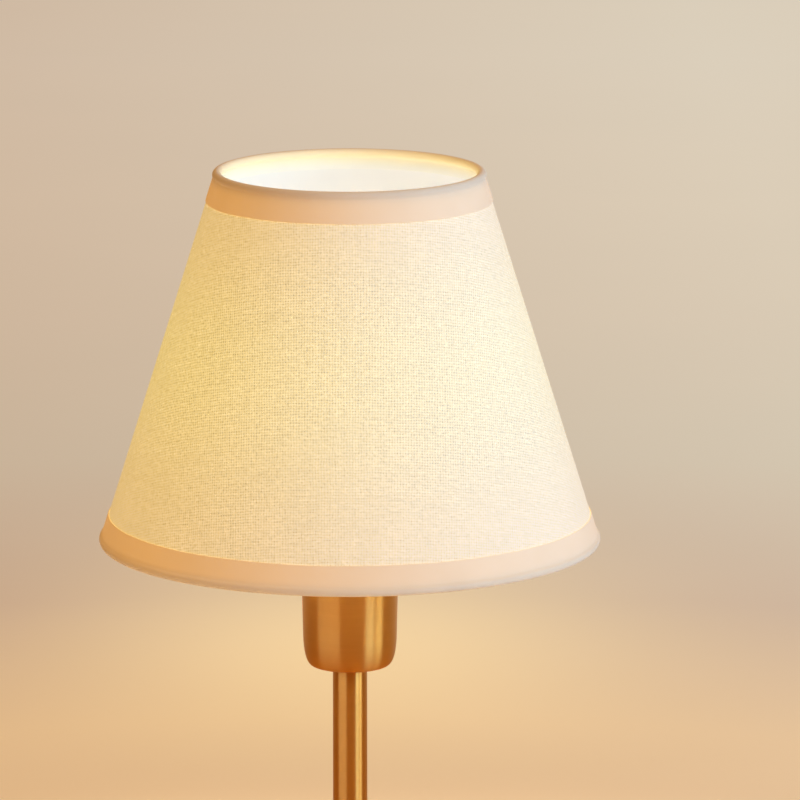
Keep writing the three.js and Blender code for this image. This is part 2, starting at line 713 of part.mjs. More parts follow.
// The tape lies on the linen, rolls round the wire and turns in over the liner
function tapeProfile(wire, bandDepth) {
  const line = (depthOut, depthIn, roll, offset, turns) => {
    const start = Math.acos(offset / roll);
    const points = [besideWire(wire, depthOut, offset)];
    for (let i = 0; i <= turns; i += 1) {
      const angle = start - (i / turns) * (Math.PI + 2 * start);
      points.push(besideWire(wire, roll * Math.sin(angle), roll * Math.cos(angle)));
    }
    points.push(besideWire(wire, depthIn, -offset));
    return points;
  };
  const near = panelHalf + seat;
  const outer = line(bandDepth, hemDepth, rollRadius, near + tapeThickness, rollSteps);
  const inner = line(bandDepth, hemDepth, wireRadius + seat, near, rollSteps - 1);
  return [...outer, ...inner.reverse()];
}

// One layer of the wall, between two offsets from its middle
function wallLayer(inner, outer) {
  const clear = wireRadius + seat;
  return revolve([
    besideWire(footWire, clear, inner), besideWire(footWire, clear, outer),
    besideWire(headWire, clear, outer), besideWire(headWire, clear, inner),
  ], wideFacets);
}

function addShade() {
  addMesh('shade_fabric', wallLayer(panelHalf - fabricThickness, panelHalf), linen);
  addMesh('shade_liner', wallLayer(-panelHalf, -panelHalf + linerThickness), liner);
  const wireRing = (wire) =>
    new THREE.TorusGeometry(wire.x, wireRadius, ringWireFacets, wideFacets).translate(0, 0, wire.y);
  addMesh('bottom_wire_ring', wireRing(footWire), whiteWire);
  addMesh('top_wire_ring', wireRing(headWire), whiteWire);

  // The lower tape is notched where each arm reaches the wire
  const notches = armAngles.map((angle) => {
    const { bend, end } = armCurve(angle);
    const outward = end.clone().sub(bend).normalize();
    const from = end.clone().addScaledVector(outward, -hemDepth);
    return rodBetween(from, end.clone().addScaledVector(outward, seat), armRadius + seat);
  });
  const footTape = revolve(tapeProfile(footWire, footBandDepth), wideFacets);
  addMesh('bottom_binding', cut(footTape, ...notches), tape);
  addMesh('top_binding', revolve(tapeProfile(headWire, headBandDepth), wideFacets), tape);
}

// Bulb: candle shape with a screw cap; it turns and rises as it is unscrewed

function addBulb() {
  const level = (height) => bulbTipZ + height;
  const capFootZ = level(bulbCapFoot);
  const capHeadZ = level(bulbCapHead);
  const capBore = bulbCapRadius - bulbCapWall;

  const tipTop = bulbTipZ + bulbTipHeight;
  addMesh('bulb_tip', revolve([
    at(0, bulbTipZ), at(bulbTipRadius - bulbTipRound, bulbTipZ),
    at(bulbTipRadius, bulbTipZ + bulbTipRound), at(bulbTipRadius, tipTop), at(0, tipTop),
  ], fineFacets), steel);

  addMesh('bulb_insulator', revolve([
    at(0, tipTop + seat), at(bulbTipRadius + bulbTipRound, tipTop + seat),
    at(capBore - seat, capFootZ), at(capBore - seat, capFootZ + bulbInsulatorRim),
    at(0, capFootZ + bulbInsulatorRim),
  ], fineFacets), blackPlastic);

  addMesh('bulb_cap', ring(capBore, bulbCapRadius, capFootZ, capHeadZ), contactBrass);

  const collarFootZ = capHeadZ + seat;
  const collarHeadZ = level(bulbCollarHead);
  addMesh('bulb_collar', revolve([
    at(0, capHeadZ - bulbSpigotDepth), at(capBore - seat, capHeadZ - bulbSpigotDepth),
    at(capBore - seat, collarFootZ), at(bulbCollarFootRadius, collarFootZ),
    at(bulbCollarFootRadius + bulbCollarStep, collarFootZ + bulbCollarNeck),
    at(bulbCollarHeadRadius - bulbCollarStep, collarHeadZ - bulbCollarRim),
    at(bulbCollarHeadRadius, collarHeadZ), at(0, collarHeadZ),
  ]), bulbPlastic);

  const globeFootZ = collarHeadZ + seat;
  const widestZ = level(bulbWidest);
  const topZ = level(bulbLength);
  const path = new THREE.Path();
  path.moveTo(bulbCollarHeadRadius, globeFootZ);
  path.quadraticCurveTo(bulbRadius, (globeFootZ + widestZ) / 2, bulbRadius, widestZ);
  path.bezierCurveTo(bulbRadius, widestZ + bulbShoulder, bulbPoint, topZ, 0, topZ);
  const outer = path.getPoints(curveSteps);
  const walled = thicken(outer, bulbWall);
  walled.forEach((point) => { point.x = Math.max(point.x, 0); });
  addMesh('bulb_globe', revolve(walled), opal);

  const boardZ = collarHeadZ + seat;
  const boardRadius = bulbCollarHeadRadius - boardInset;
  const leds = Array.from({ length: ledCount }, (_, i) => {
    const spot = polar(boardRadius * ledCircle, (i * 2 * Math.PI) / ledCount);
    const half = ledSize / 2;
    const foot = boardZ + boardThickness / 2;
    return block([spot.x - half, spot.y - half, foot],
      [spot.x + half, spot.y + half, boardZ + boardThickness + ledHeight]);
  });
  const board = disc(boardRadius, boardZ, boardZ + boardThickness, fineFacets);
  addMesh('led_board', join(board, ...leds), boardWhite);
}

addBase();
addTerminalBlock();
addStem();
addCup();
addHolder();
addContacts();
addLeads();
addShadeCarrier();
addShade();
addBulb();

export default lamp;
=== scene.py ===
# Looks for a small table lamp: a tapered linen shade on a slim brushed brass stem.
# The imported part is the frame. Sizes are in millimetres here and become metres in buildPiece.

import json
import math

import bmesh
import bpy
import numpy as np
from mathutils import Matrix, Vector


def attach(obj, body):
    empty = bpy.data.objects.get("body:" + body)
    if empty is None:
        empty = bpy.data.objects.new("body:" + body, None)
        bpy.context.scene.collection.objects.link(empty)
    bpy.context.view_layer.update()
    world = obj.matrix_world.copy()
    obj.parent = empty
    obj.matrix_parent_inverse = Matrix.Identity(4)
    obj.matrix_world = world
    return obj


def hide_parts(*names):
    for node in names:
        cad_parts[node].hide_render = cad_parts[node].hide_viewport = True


print("lamp: loading the packed part")
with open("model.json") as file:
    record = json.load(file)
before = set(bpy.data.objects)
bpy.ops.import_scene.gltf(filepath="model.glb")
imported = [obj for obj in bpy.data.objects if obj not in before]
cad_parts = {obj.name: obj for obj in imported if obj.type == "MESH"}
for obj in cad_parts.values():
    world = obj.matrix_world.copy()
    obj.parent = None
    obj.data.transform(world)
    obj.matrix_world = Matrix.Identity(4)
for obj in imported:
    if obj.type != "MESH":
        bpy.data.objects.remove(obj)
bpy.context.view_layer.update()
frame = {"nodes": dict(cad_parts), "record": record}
cadNodes = frame["nodes"]
mm = 0.001
turn = 2 * math.pi
seat = 0.3                # clearance between pieces that stand on each other, in millimetres


# Node helpers

class Value:
    # A node's output. What is worked out from it is the output of a new node.
    def __init__(self, socket):
        self.socket, self.tree = socket, socket.id_data

    def __add__(self, other):
        return calc("ADD", self, other)

    def __sub__(self, other):
        return calc("SUBTRACT", self, other)

    def __mul__(self, other):
        return calc("MULTIPLY", self, other)

    def __truediv__(self, other):
        return calc("DIVIDE", self, other)

    def __pow__(self, other):
        return calc("POWER", self, other)

    def __abs__(self):
        return calc("ABSOLUTE", self)

    def parts(self):
        outputs = addNode(self.tree, "SeparateXYZ", {0: self})
        return outputs[0], outputs[1], outputs[2]

    def stretched(self, *scale):
        return addNode(self.tree, "VectorMath", {0: self, 1: scale}, operation="MULTIPLY")[0]

    def noise(self, scale, detail=2.0, roughness=0.5):
        settings = {"Vector": self, "Scale": scale, "Detail": detail, "Roughness": roughness}
        return addNode(self.tree, "TexNoise", settings)["Fac"]

    def remap(self, fromLow, fromHigh, toLow=0.0, toHigh=1.0):
        ranges = {"Value": self, "From Min": fromLow, "From Max": fromHigh,
                  "To Min": toLow, "To Max": toHigh}
        return addNode(self.tree, "MapRange", ranges)["Result"]

    def pick(self, first, second):
        # The first number where this value is 0, the second where it is 1
        return addNode(self.tree, "Mix", {0: self, 2: first, 3: second})[0]

    def mix(self, first, second):
        # The first colour where this value is 0, the second where it is 1
        return mixColour(self.tree, self, first, second, "MIX")

    # The next two are for colours, as * and + are for numbers
    def times(self, colour):
        return mixColour(self.tree, 1.0, self, colour, "MULTIPLY")

    def plus(self, colour):
        return mixColour(self.tree, 1.0, self, colour, "ADD")


def feed(sockets, values):
    # Links each output to its socket, or sets the socket's own value
    for key, value in values.items():
        if isinstance(value, Value):
            value.tree.links.new(value.socket, sockets[key])
        elif sockets[key].type == "RGBA":
            sockets[key].default_value = (*value, 1.0)
        else:
            sockets[key].default_value = value


def outputsOf(made):
    # By number and by name
    return {key: Value(socket) for number, socket in enumerate(made.outputs)
            for key in (number, socket.name)}


def addNode(tree, kind, inputs=None, **settings):
    made = tree.nodes.new("ShaderNode" + kind)
    for key, value in settings.items():
        setattr(made, key, value)
    feed(made.inputs, inputs or {})
    return outputsOf(made)


def calc(operation, *values):
    tree = next(value.tree for value in values if isinstance(value, Value))
    return addNode(tree, "Math", dict(enumerate(values)), operation=operation)[0]


def mixColour(tree, factor, first, second, blend):
    # Sockets 0, 6 and 7 of a colour mix are its factor and its two colours
    return addNode(tree, "Mix", {0: factor, 6: first, 7: second}, data_type="RGBA", blend_type=blend)[2]


# Shade sizes, in millimetres

shadeSizes = {
    "footRadius": 101.5,
    "headRadius": 55.0,
    "footHeight": 217.7,
    "headHeight": 370.2,
    "wire": 1.2,
    "roll": 1.9,
    "linen": (0.05, 0.90),        # offsets from the wall's middle, outwards
    "liner": (-0.65, -0.25),
    "tapeGap": 0.95,
    "tape": 0.37,
    "footBandDepth": 10.3,
    "headBandDepth": 11.5,
    "hemDepth": 6.5,
    "notch": (1.7, 0.7),          # half width beside an arm, and the run to its full depth
    "notchStop": 0.66,            # share of the tape's length that is left there
    "evenShare": 0.6,             # up to here the tape is the same all round
    "edgeWaves": ((3, 0.4, 0.16), (11, 1.9, 0.09), (29, 0.0, 0.05)),    # of the tape's cut edge
    "bandWaves": ((7, 0.7, 0.03), (23, 0.0, 0.02)),                     # of its face on the linen
    "wallEnd": 1.6,               # from the middle of each wire
    "lapWidth": 11.0,             # at the mean radius of the wall
    "meanRadius": 80.0,
    "lapRise": 0.22,
}
footWire = np.array([shadeSizes["footRadius"] - shadeSizes["roll"],
                     shadeSizes["footHeight"] + shadeSizes["roll"]])
headWire = np.array([shadeSizes["headRadius"] - shadeSizes["roll"],
                     shadeSizes["headHeight"] - shadeSizes["roll"]])
wallLength = float(np.linalg.norm(headWire - footWire))
wallUp = (headWire - footWire) / wallLength
wallOut = np.array([wallUp[1], -wallUp[0]])
coneSine = -wallUp[0]                      # sine of the wall's lean, as a cone
armAngles = turn / 4 + np.arange(3) * turn / 3


# Camera, world and lamps

cameraPlace = {
    "place": (0.0, -2.612, 0.8045),
    "pitch": 11.439,      # degrees down
    "yaw": 0.4463,        # degrees to the right, so that the stem stands left of the middle
    "lens": 297.1,
}

# Panels: azimuth and width in degrees, lower and upper edge in metres, distance, colour, watts
# and what it lights. The metal has its own panels, which it shows as streaks.
studio = {
    "panels": {
        "daylight": (62.0, 60.0, 0.1, 1.9, 2.6, (0.13, 0.505, 1.0), 56.0, "soft"),
        "warmFill": (-44.0, 50.0, 0.1, 1.6, 2.9, (1.0, 0.44, 0.10), 3.3, "soft"),
        "windowStreak": (50.0, 24.0, 0.1, 1.9, 2.6, (0.54, 0.82, 1.0), 28.0, "metal"),
        "windowEdge": (75.0, 19.0, 0.1, 1.9, 2.6, (0.74, 1.0, 1.0), 19.0, "metal"),
        "roomStreak": (-54.0, 60.0, 0.1, 1.9, 2.6, (0.84, 0.96, 1.0), 24.5, "metal"),
    },
    "sky": ((0.9, -0.6, 2.0), 1.2, (1.0, 0.66, 0.33), 9.9),     # place, side, colour and watts
    "bulbColour": (1.0, 0.70, 0.38),
    "bulbPower": 5.0,
    "bulbHeight": 0.281,
    "panelAim": 0.26,      # heights that the panels and the sky look at
    "skyAim": 0.30,
    "roomLight": (0.28, 0.16, 0.08),
    "roomSeen": (0.60, 0.50, 0.36),
    "roomShown": (0.17, 0.085, 0.02),     # what metal and glass show of it
    "floorCloth": (0.80, 0.72, 0.62),
    "floorHalf": 14.0,

    # Floor as the camera sees it, over its lit cloth colour: distance from the lamp in metres and colour,
    # warm near the lamp as painted lamp light, more on the daylight's side as painted daylight, and a
    # painted warm pool of lamp light exp(-(x/wide)^2 - ((y-behind)/deep)^2)
    "floorSeenPaintedLight": [(0.0, (0.309, 0.139, 0.0)), (0.57, (0.389, 0.228, 0.068)), (0.84, (0.227, 0.148, 0.087)),
                  (1.2, (0.277, 0.244, 0.174)), (1.64, (0.333, 0.286, 0.214)), (2.1, (0.37, 0.324, 0.251)),
                  (2.8, (0.387, 0.355, 0.292))],
    "paintedDaylightSide": (0.079, 0.126, 0.122),
    "paintedLampPool": (0.26, 0.206, 0.07),
    "paintedPoolPlace": (0.76, 0.14, 0.20),     # behind, wide, deep
    # Painted shade in reflections: the metal's view of the front floor is darkened by this share
    "frontShownPaintedShade": (0.46, 0.30, 0.12),    # share of the front floor that the metal shows
}


def directionTo(azimuth):
    # Azimuth is measured from the viewer's side (-Y) towards the right (+X)
    a = math.radians(azimuth)
    return np.array([math.sin(a), -math.cos(a), 0.0])


def addCamera():
    data = bpy.data.cameras.new("lampCamera")
    data.lens = cameraPlace["lens"]
    data.sensor_width = 36.0
    data.clip_start, data.clip_end = 0.05, 60.0
    camera = bpy.data.objects.new("lampCamera", data)
    camera.location = cameraPlace["place"]
    camera.rotation_euler = (
        math.radians(90.0 - cameraPlace["pitch"]), 0.0, math.radians(-cameraPlace["yaw"]))
    bpy.context.scene.collection.objects.link(camera)
    bpy.context.scene.camera = camera


def addLamp(name, kind, colour, power, place, target=None, **settings):
    data = bpy.data.lights.new(name, kind)
    data.color, data.energy = colour, power
    for key, value in settings.items():
        setattr(data, key, value)
    lamp = bpy.data.objects.new(name, data)
    lamp.location = place
    if target is not None:
        lamp.rotation_mode = "QUATERNION"
        lamp.rotation_quaternion = (Vector(target) - Vector(place)).to_track_quat("-Z", "Y")
        lamp.visible_camera = False
    bpy.context.scene.collection.objects.link(lamp)
    return lamp


def addPanel(name, azimuth, width, low, high, distance, colour, power):
    # A soft rectangular lamp that looks at the shade, hidden from the camera
    place = directionTo(azimuth) * distance + np.array([0.0, 0.0, (low + high) / 2])
    return addLamp(name, "AREA", colour, power, place, (0.0, 0.0, studio["panelAim"]), shape="RECTANGLE",
                   size=2 * distance * math.tan(math.radians(width / 2)), size_y=high - low)


def lightOnly(panel, receivers):
    group = bpy.data.collections.new(panel.name + "Receivers")
    for piece in receivers:
        group.objects.link(piece)
    panel.light_linking.receiver_collection = group


def addLamps(metal, soft):
    for name, (*place, kind) in studio["panels"].items():
        lightOnly(addPanel(name, *place), metal if kind == "metal" else soft)

    place, side, colour, power = studio["sky"]
    sky = addLamp("sky", "AREA", colour, power, place, (0.0, 0.0, studio["skyAim"]), size=side)
    sky.visible_glossy = False

    # Light of the bulb that leaves through the shade's lower opening
    addLamp("bulbPool", "SPOT", studio["bulbColour"], studio["bulbPower"],
            (0.0, 0.0, studio["bulbHeight"]), spot_size=math.radians(122.0), spot_blend=0.25,
            shadow_soft_size=0.017)


def addWorld():
    # The room lights the lamp with one colour, the camera sees a paler one and metal a dimmer one
    world = bpy.data.worlds.new("room")
    bpy.context.scene.world = world
    world.use_nodes = True
    tree = world.node_tree
    tree.nodes.clear()
    path = addNode(tree, "LightPath")
    light, seen, shown = (addNode(tree, "Background", {"Color": studio[key]})[0]
                          for key in ("roomLight", "roomSeen", "roomShown"))
    mirrored = calc("MAXIMUM", path["Is Glossy Ray"], path["Is Transmission Ray"])
    unseen = addNode(tree, "MixShader", {0: mirrored, 1: light, 2: shown})[0]
    both = addNode(tree, "MixShader", {0: path["Is Camera Ray"], 1: unseen, 2: seen})[0]
    feed(tree.nodes.new("ShaderNodeOutputWorld").inputs, {"Surface": both})


def newGroup(name, inputs, outputs):
    # inputs: name -> default, a number or None for a vector; outputs: names of values
    tree = bpy.data.node_groups.new(name, "ShaderNodeTree")
    for key, value in inputs.items():
        kind = "NodeSocketVector" if value is None else "NodeSocketFloat"
        socket = tree.interface.new_socket(name=key, in_out="INPUT", socket_type=kind)
        if value is not None:
            socket.default_value = value
    for key in outputs:
        tree.interface.new_socket(name=key, in_out="OUTPUT", socket_type="NodeSocketFloat")
    return tree, outputsOf(tree.nodes.new("NodeGroupInput")), tree.nodes.new("NodeGroupOutput").inputs


# Effects that several finishes share

def makeWeaveGroup():
    # Plain weave in thread counts x and y. A thread's section is |sin(pi x)|^0.7; which thread is
    # on top follows s = sin(pi x) sin(pi y), so height = max(section x (1+s)/2, section y (1-s)/2)
    # + slub (tone - 1/2).
    tree, given, result = newGroup("plainWeave", {"Vector": None, "Slub": 0.3},
                                   ["Height", "Gap", "Tone"])
    vector, slub = given["Vector"], given["Slub"]
    moved = addNode(tree, "VectorMath", {0: vector, 1: (37.0, 11.0, 5.0)}, operation="ADD")[0]
    straightX, straightY, _ = vector.parts()
    x = (vector.noise(0.11, 3.0, 0.65) - 0.5) * (slub * 2.2) + straightX
    y = (moved.noise(0.13, 3.0, 0.65) - 0.5) * (slub * 2.2) + straightY
    waveX, waveY = calc("SINE", x * math.pi), calc("SINE", y * math.pi)
    over = waveX * waveY
    up = over * 0.5 + 0.5
    height = calc("MAXIMUM", abs(waveX) ** 0.7 * up, abs(waveY) ** 0.7 * calc("SUBTRACT", 1.0, up))

    # Each thread has its own thickness: noise that is long along the thread and short across it
    threadX = addNode(tree, "CombineXYZ", {0: x, 1: y * 0.09, 2: 3.1})[0].noise(0.85, 1.0)
    threadY = addNode(tree, "CombineXYZ", {0: x * 0.09, 1: y, 2: 8.7})[0].noise(0.85, 1.0)
    tone = calc("GREATER_THAN", over, 0.0).pick(threadY, threadX)

    # Gaps: dark where both threads dip, and a fainter line beside each thread
    hole = calc("MAXIMUM", abs(waveX), abs(waveY)).remap(0.25, 0.95, 1.0, 0.0)
    line = (abs(waveX) * abs(waveY)).remap(0.0, 0.55, 0.45, 0.0)
    feed(result, {"Height": (tone - 0.5) * slub + height, "Gap": calc("MAXIMUM", hole, line), "Tone": tone})
    return tree


def radiusOf(x, y):
    return calc("SQRT", x * x + y * y)


def makeTurnedGrainGroup():
    # Brush lines of a turned piece: noise of height plus radius, which hardly changes round the axis
    tree, given, result = newGroup("turnedGrain", {"Vector": None, "Lines": 9000.0, "Drift": 0.6},
                                   ["Height", "Tone", "Wear"])
    x, y, z = given["Vector"].parts()
    radius = radiusOf(x, y)
    safe = calc("MAXIMUM", radius, 1e-5)
    place = addNode(tree, "CombineXYZ", {0: (z + radius) * given["Lines"],
                                         1: x / safe * given["Drift"],
                                         2: y / safe * given["Drift"]})[0]
    feed(result, {"Height": place.noise(1.0, 3.0, 0.65),
                  "Tone": place.stretched(0.06, 1.4, 1.4).noise(1.0, 2.0),
                  "Wear": given["Vector"].noise(42.0, 3.0, 0.6)})
    return tree


def makeFineGrainGroup():
    # Even surface grain for moulded, painted, cast and fired pieces, with slow patches over it
    tree, given, result = newGroup("fineGrain", {"Vector": None, "Grain": 1500.0, "Patch": 60.0},
                                   ["Height", "Tone"])
    feed(result, {"Height": given["Vector"].noise(given["Grain"], 2.0, 0.6),
                  "Tone": given["Vector"].noise(given["Patch"], 3.0, 0.55)})
    return tree


def makeBulbReachGroup():
    # How much of the bulb's light reaches a height: 1 / (1 + ((z - centre) / reach)^2)
    tree, given, result = newGroup("bulbReach", {"Vector": None, "Centre": 0.3, "Reach": 0.1},
                                   ["Level"])
    ratio = (given["Vector"].parts()[2] - given["Centre"]) / given["Reach"]
    feed(result, {"Level": calc("DIVIDE", 1.0, ratio * ratio + 1.0)})
    return tree


print("lamp: node groups")
weaveGroup = makeWeaveGroup()
turnedGrainGroup = makeTurnedGrainGroup()
fineGrainGroup = makeFineGrainGroup()
bulbReachGroup = makeBulbReachGroup()


def useGroup(group, **inputs):
    return addNode(inputs["Vector"].tree, "Group", inputs, node_tree=group)


def newFinish(name, **constants):
    # A material with one Principled shader; constants go straight to its own sockets
    material = bpy.data.materials.new(name)
    material.use_nodes = True
    tree = material.node_tree
    tree.nodes.clear()
    constants = {key.replace("_", " "): value for key, value in constants.items()}
    shader = addNode(tree, "BsdfPrincipled", constants)[0]
    feed(tree.nodes.new("ShaderNodeOutputMaterial").inputs, {"Surface": shader})
    return material, shader.socket.node.inputs, addNode(tree, "TexCoord")["Object"]


def addBump(shader, height, distance, strength):
    bump = addNode(height.tree, "Bump", {"Height": height, "Strength": strength, "Distance": distance})
    feed(shader, {"Normal": bump[0]})


def threadsOf(tree, scale, angle=0.0):
    # Thread counts across and along a cloth, from its uv layout in metres
    uv = addNode(tree, "UVMap", uv_map="surface")[0]
    return addNode(tree, "Mapping", {"Vector": uv, "Scale": (scale, scale, 1.0),
                                     "Rotation": (0.0, 0.0, angle)})[0]


# Finishes

brassFinish = {
    "light": (0.86, 0.45, 0.125),
    "deep": (0.82, 0.415, 0.110),
    "roughness": 0.34,
    "lines": 6200.0,
}


def makeBrass(name, tones, metalRoughness, lines, anisotropy, relief=0.35):
    # Colour = mix(deep, light, brush lines)
    # roughness = base + 0.06 (lines - 1/2) + 0.05 (wear - 1/2)
    material, shader, place = newFinish(name, Metallic=1.0, Anisotropic=anisotropy,
                                        Anisotropic_Rotation=0.25)
    grain = useGroup(turnedGrainGroup, Vector=place, Lines=lines)
    tone = (grain["Height"] * 0.6 + grain["Tone"] * 0.4).remap(0.3, 0.7)
    worn = (grain["Wear"] - 0.5) * 0.05 + metalRoughness
    feed(shader, {"Base Color": tone.mix(*tones), "Roughness": (grain["Height"] - 0.5) * 0.06 + worn,
                  "Tangent": addNode(place.tree, "Tangent", direction_type="RADIAL", axis="Z")[0]})
    addBump(shader, grain["Height"], 0.00002, relief)
    return material


linenFinish = {
    "pitch": 1.10,                       # millimetres from thread to thread
    "cloth": (0.80, 0.77, 0.71),
    "gap": (0.75, 0.72, 0.65),
    "glow": (0.58, 0.452, 0.137),        # light of the bulb through the cloth, at its height
    "glowFar": (0.50, 0.326, 0.13),      # the same, away from the bulb's height
    "centre": 0.300,
    "reach": 0.055,
    "slub": 0.5,
    "toneSpread": 0.32,                  # how far one thread's brightness is from another's
    "nubs": (0.91, 1.09),                # brightness of short stretches of thread
    "crest": 1.115,                      # brightness on the threads
    "pinhole": (0.88, 0.32),             # brightness in the gaps, each its own between these
    "warmth": 1.7,                       # blue falls with this power of the brightness
    "clothShare": 0.2,                   # share of it that the cloth's own colour takes
    "relief": 0.14,
}


def makeLinen():
    # Brightness = thread tone * nubs * mix(crest, pinhole, gap). It dims the glow, and the cloth's
    # own colour a little. Glow = mix(glowFar, glow, reach of the bulb's light).
    f = linenFinish
    material, shader, place = newFinish("slubbyLinen", Roughness=0.95, Sheen_Weight=0.12,
                                        Specular_IOR_Level=0.2, Emission_Strength=1.0)
    threads = threadsOf(place.tree, 1.0 / (f["pitch"] * mm))
    weave = useGroup(weaveGroup, Vector=threads, Slub=f["slub"])
    reach = useGroup(bulbReachGroup, Vector=place, Centre=f["centre"], Reach=f["reach"])
    cloudy = place.noise(26.0, 3.0, 0.6).remap(0.3, 0.7, 0.985, 1.015)
    shade = (weave["Tone"] - 0.5) * f["toneSpread"] + cloudy
    pinhole = threads.noise(0.9, 1.0).remap(0.36, 0.64, *f["pinhole"])
    nubs = threads.stretched(0.42, 1.0, 1.0).noise(0.9, 1.0).remap(0.3, 0.7, *f["nubs"])
    dim = shade * nubs * weave["Gap"].pick(f["crest"], pinhole)
    warm = addNode(place.tree, "CombineColor", {0: dim, 1: dim, 2: dim ** f["warmth"]})[0]
    cloth = weave["Gap"].mix(f["cloth"], f["gap"])
    feed(shader, {"Base Color": cloth.times(dim * f["clothShare"] + (1 - f["clothShare"])),
                  "Emission Color": reach["Level"].mix(f["glowFar"], f["glow"]).times(warm)})
    addBump(shader, weave["Height"], 0.00022, f["relief"])
    return material


tapeFinish = {
    "cloth": (0.87, 0.90, 0.68),
    # Painted warm light: the fold over the wire gets a warmer, brighter copy of the tape's colour
    "roll": (1.0, 0.90, 0.66),        # where the tape is folded over the wire
    "glow": (0.425, 0.17, 0.028),
    "inside": (0.29, 0.18, 0.03),     # on the side that faces the bulb, beside the wire
    "insideDeep": (0.20, 0.21, 0.27),
    "rollFoot": -0.0012,              # metres above the wire where the glow starts and is full
    "rollTop": 0.0035,
}


def wallSide(wire):
    # 1 where the wall stands above the wire, -1 where it hangs below it
    return 1.0 if wire is footWire else -1.0


def makeTapeFinish(name, wire):
    # Fine cloth; the glow fades from the band to the roll, where the wire stops the light, and
    # the hem inside the wall is lit. Distance out of the wall = (place - wire) . wallOut.
    f = tapeFinish
    material, shader, place = newFinish(name, Roughness=0.9, Sheen_Weight=0.1,
                                        Specular_IOR_Level=0.2, Emission_Strength=1.0)
    weave = useGroup(weaveGroup, Vector=threadsOf(place.tree, 2600.0, math.radians(45)), Slub=0.2)
    x, y, z = place.parts()
    wireRadius, wireHeight = wire * mm
    above = z - wireHeight
    rise = above * wallSide(wire)
    facing = ((radiusOf(x, y) - wireRadius) * wallOut[0] + above * wallOut[1]).remap(0.0004, -0.0012)
    dim = (place.noise(34.0, 3.0, 0.6).remap(0.3, 0.7, 0.965, 1.035)
           * weave["Height"].remap(0.2, 1.0, 0.97, 1.01))
    through = (dim * rise.remap(f["rollFoot"], f["rollTop"], 0.24, 1.0)).times(f["glow"])
    inside = rise.remap(0.0005, 0.0055).mix(f["inside"], f["insideDeep"])
    # Painted warm light: the roll takes the warmer copy of the tape's colour, the band its own
    cloth = rise.remap(f["rollFoot"], f["rollTop"]).mix(f["roll"], f["cloth"])
    feed(shader, {"Base Color": cloth.times(dim), "Emission Color": facing.mix(through, inside)})
    addBump(shader, weave["Height"], 0.00005, 0.35)
    return material


# The liner's glow is painted light of the bulb falling on it; the opal diffuser is the bulb itself and glows
# as a lamp
linerFinish = {"name": "translucentLiner", "sheet": (0.66, 0.64, 0.59), "glow": (0.28, 0.335, 0.36),
               "glowFar": (0.40, 0.40, 0.38), "strength": 1.0, "centre": 0.290, "reach": 0.09,
               "grain": 900.0, "patch": 24.0, "tone": (0.96, 1.03), "roughness": (0.42, 0.56),
               "relief": 0.00002}
opalFinish = {"name": "opalDiffuser", "sheet": (0.90, 0.88, 0.83), "glow": (1.0, 0.80, 0.52),
              "glowFar": (0.78, 0.55, 0.28), "strength": 2.2, "centre": 0.278, "reach": 0.030,
              "grain": 1200.0, "patch": 40.0, "tone": (0.97, 1.0), "roughness": (0.35, 0.35),
              "relief": 0.00001}


def makeGlowing(f):
    # Translucent sheet whose glow turns from glowFar to glow at the bulb's height
    low, high = f["roughness"]
    material, shader, place = newFinish(f["name"], Roughness=low, Emission_Strength=f["strength"])
    grain = useGroup(fineGrainGroup, Vector=place, Grain=f["grain"], Patch=f["patch"])
    reach = useGroup(bulbReachGroup, Vector=place, Centre=f["centre"], Reach=f["reach"])
    tone = grain["Tone"].remap(0.3, 0.7, *f["tone"])
    feed(shader, {"Base Color": tone.times(f["sheet"]),
                  "Emission Color": reach["Level"].mix(f["glowFar"], f["glow"]).times(tone)})
    if high > low:
        feed(shader, {"Roughness": grain["Tone"].remap(0.3, 0.7, low, high)})
    addBump(shader, grain["Height"], f["relief"], 0.3)
    return material


def makeFelt():
    # Pressed fibres: two sizes of noise, dull all over
    material, shader, place = newFinish("pressedFelt", Roughness=1.0, Sheen_Weight=0.3,
                                        Specular_IOR_Level=0.1)
    grain = useGroup(fineGrainGroup, Vector=place, Grain=2600.0, Patch=320.0)
    level = grain["Height"] * 0.6 + grain["Tone"] * 0.4
    fibres = level.remap(0.35, 0.65).mix((0.045, 0.040, 0.035), (0.125, 0.110, 0.095))
    feed(shader, {"Base Color": fibres})
    addBump(shader, level, 0.0004, 0.8)
    return material


def makePlain(name, dark, light, roughness, grainScale=1500.0, patchScale=60.0, relief=0.00002,
              **constants):
    # Colour = mix(dark, light, patches); roughness = base -0.06 to +0.06 with them; bump = grain
    material, shader, place = newFinish(name, **constants)
    grain = useGroup(fineGrainGroup, Vector=place, Grain=grainScale, Patch=patchScale)
    feed(shader, {"Base Color": grain["Tone"].remap(0.3, 0.7).mix(dark, light),
                  "Roughness": grain["Tone"].remap(0.3, 0.7, roughness - 0.06, roughness + 0.06)})
    addBump(shader, grain["Height"], relief, 0.5)
    return material


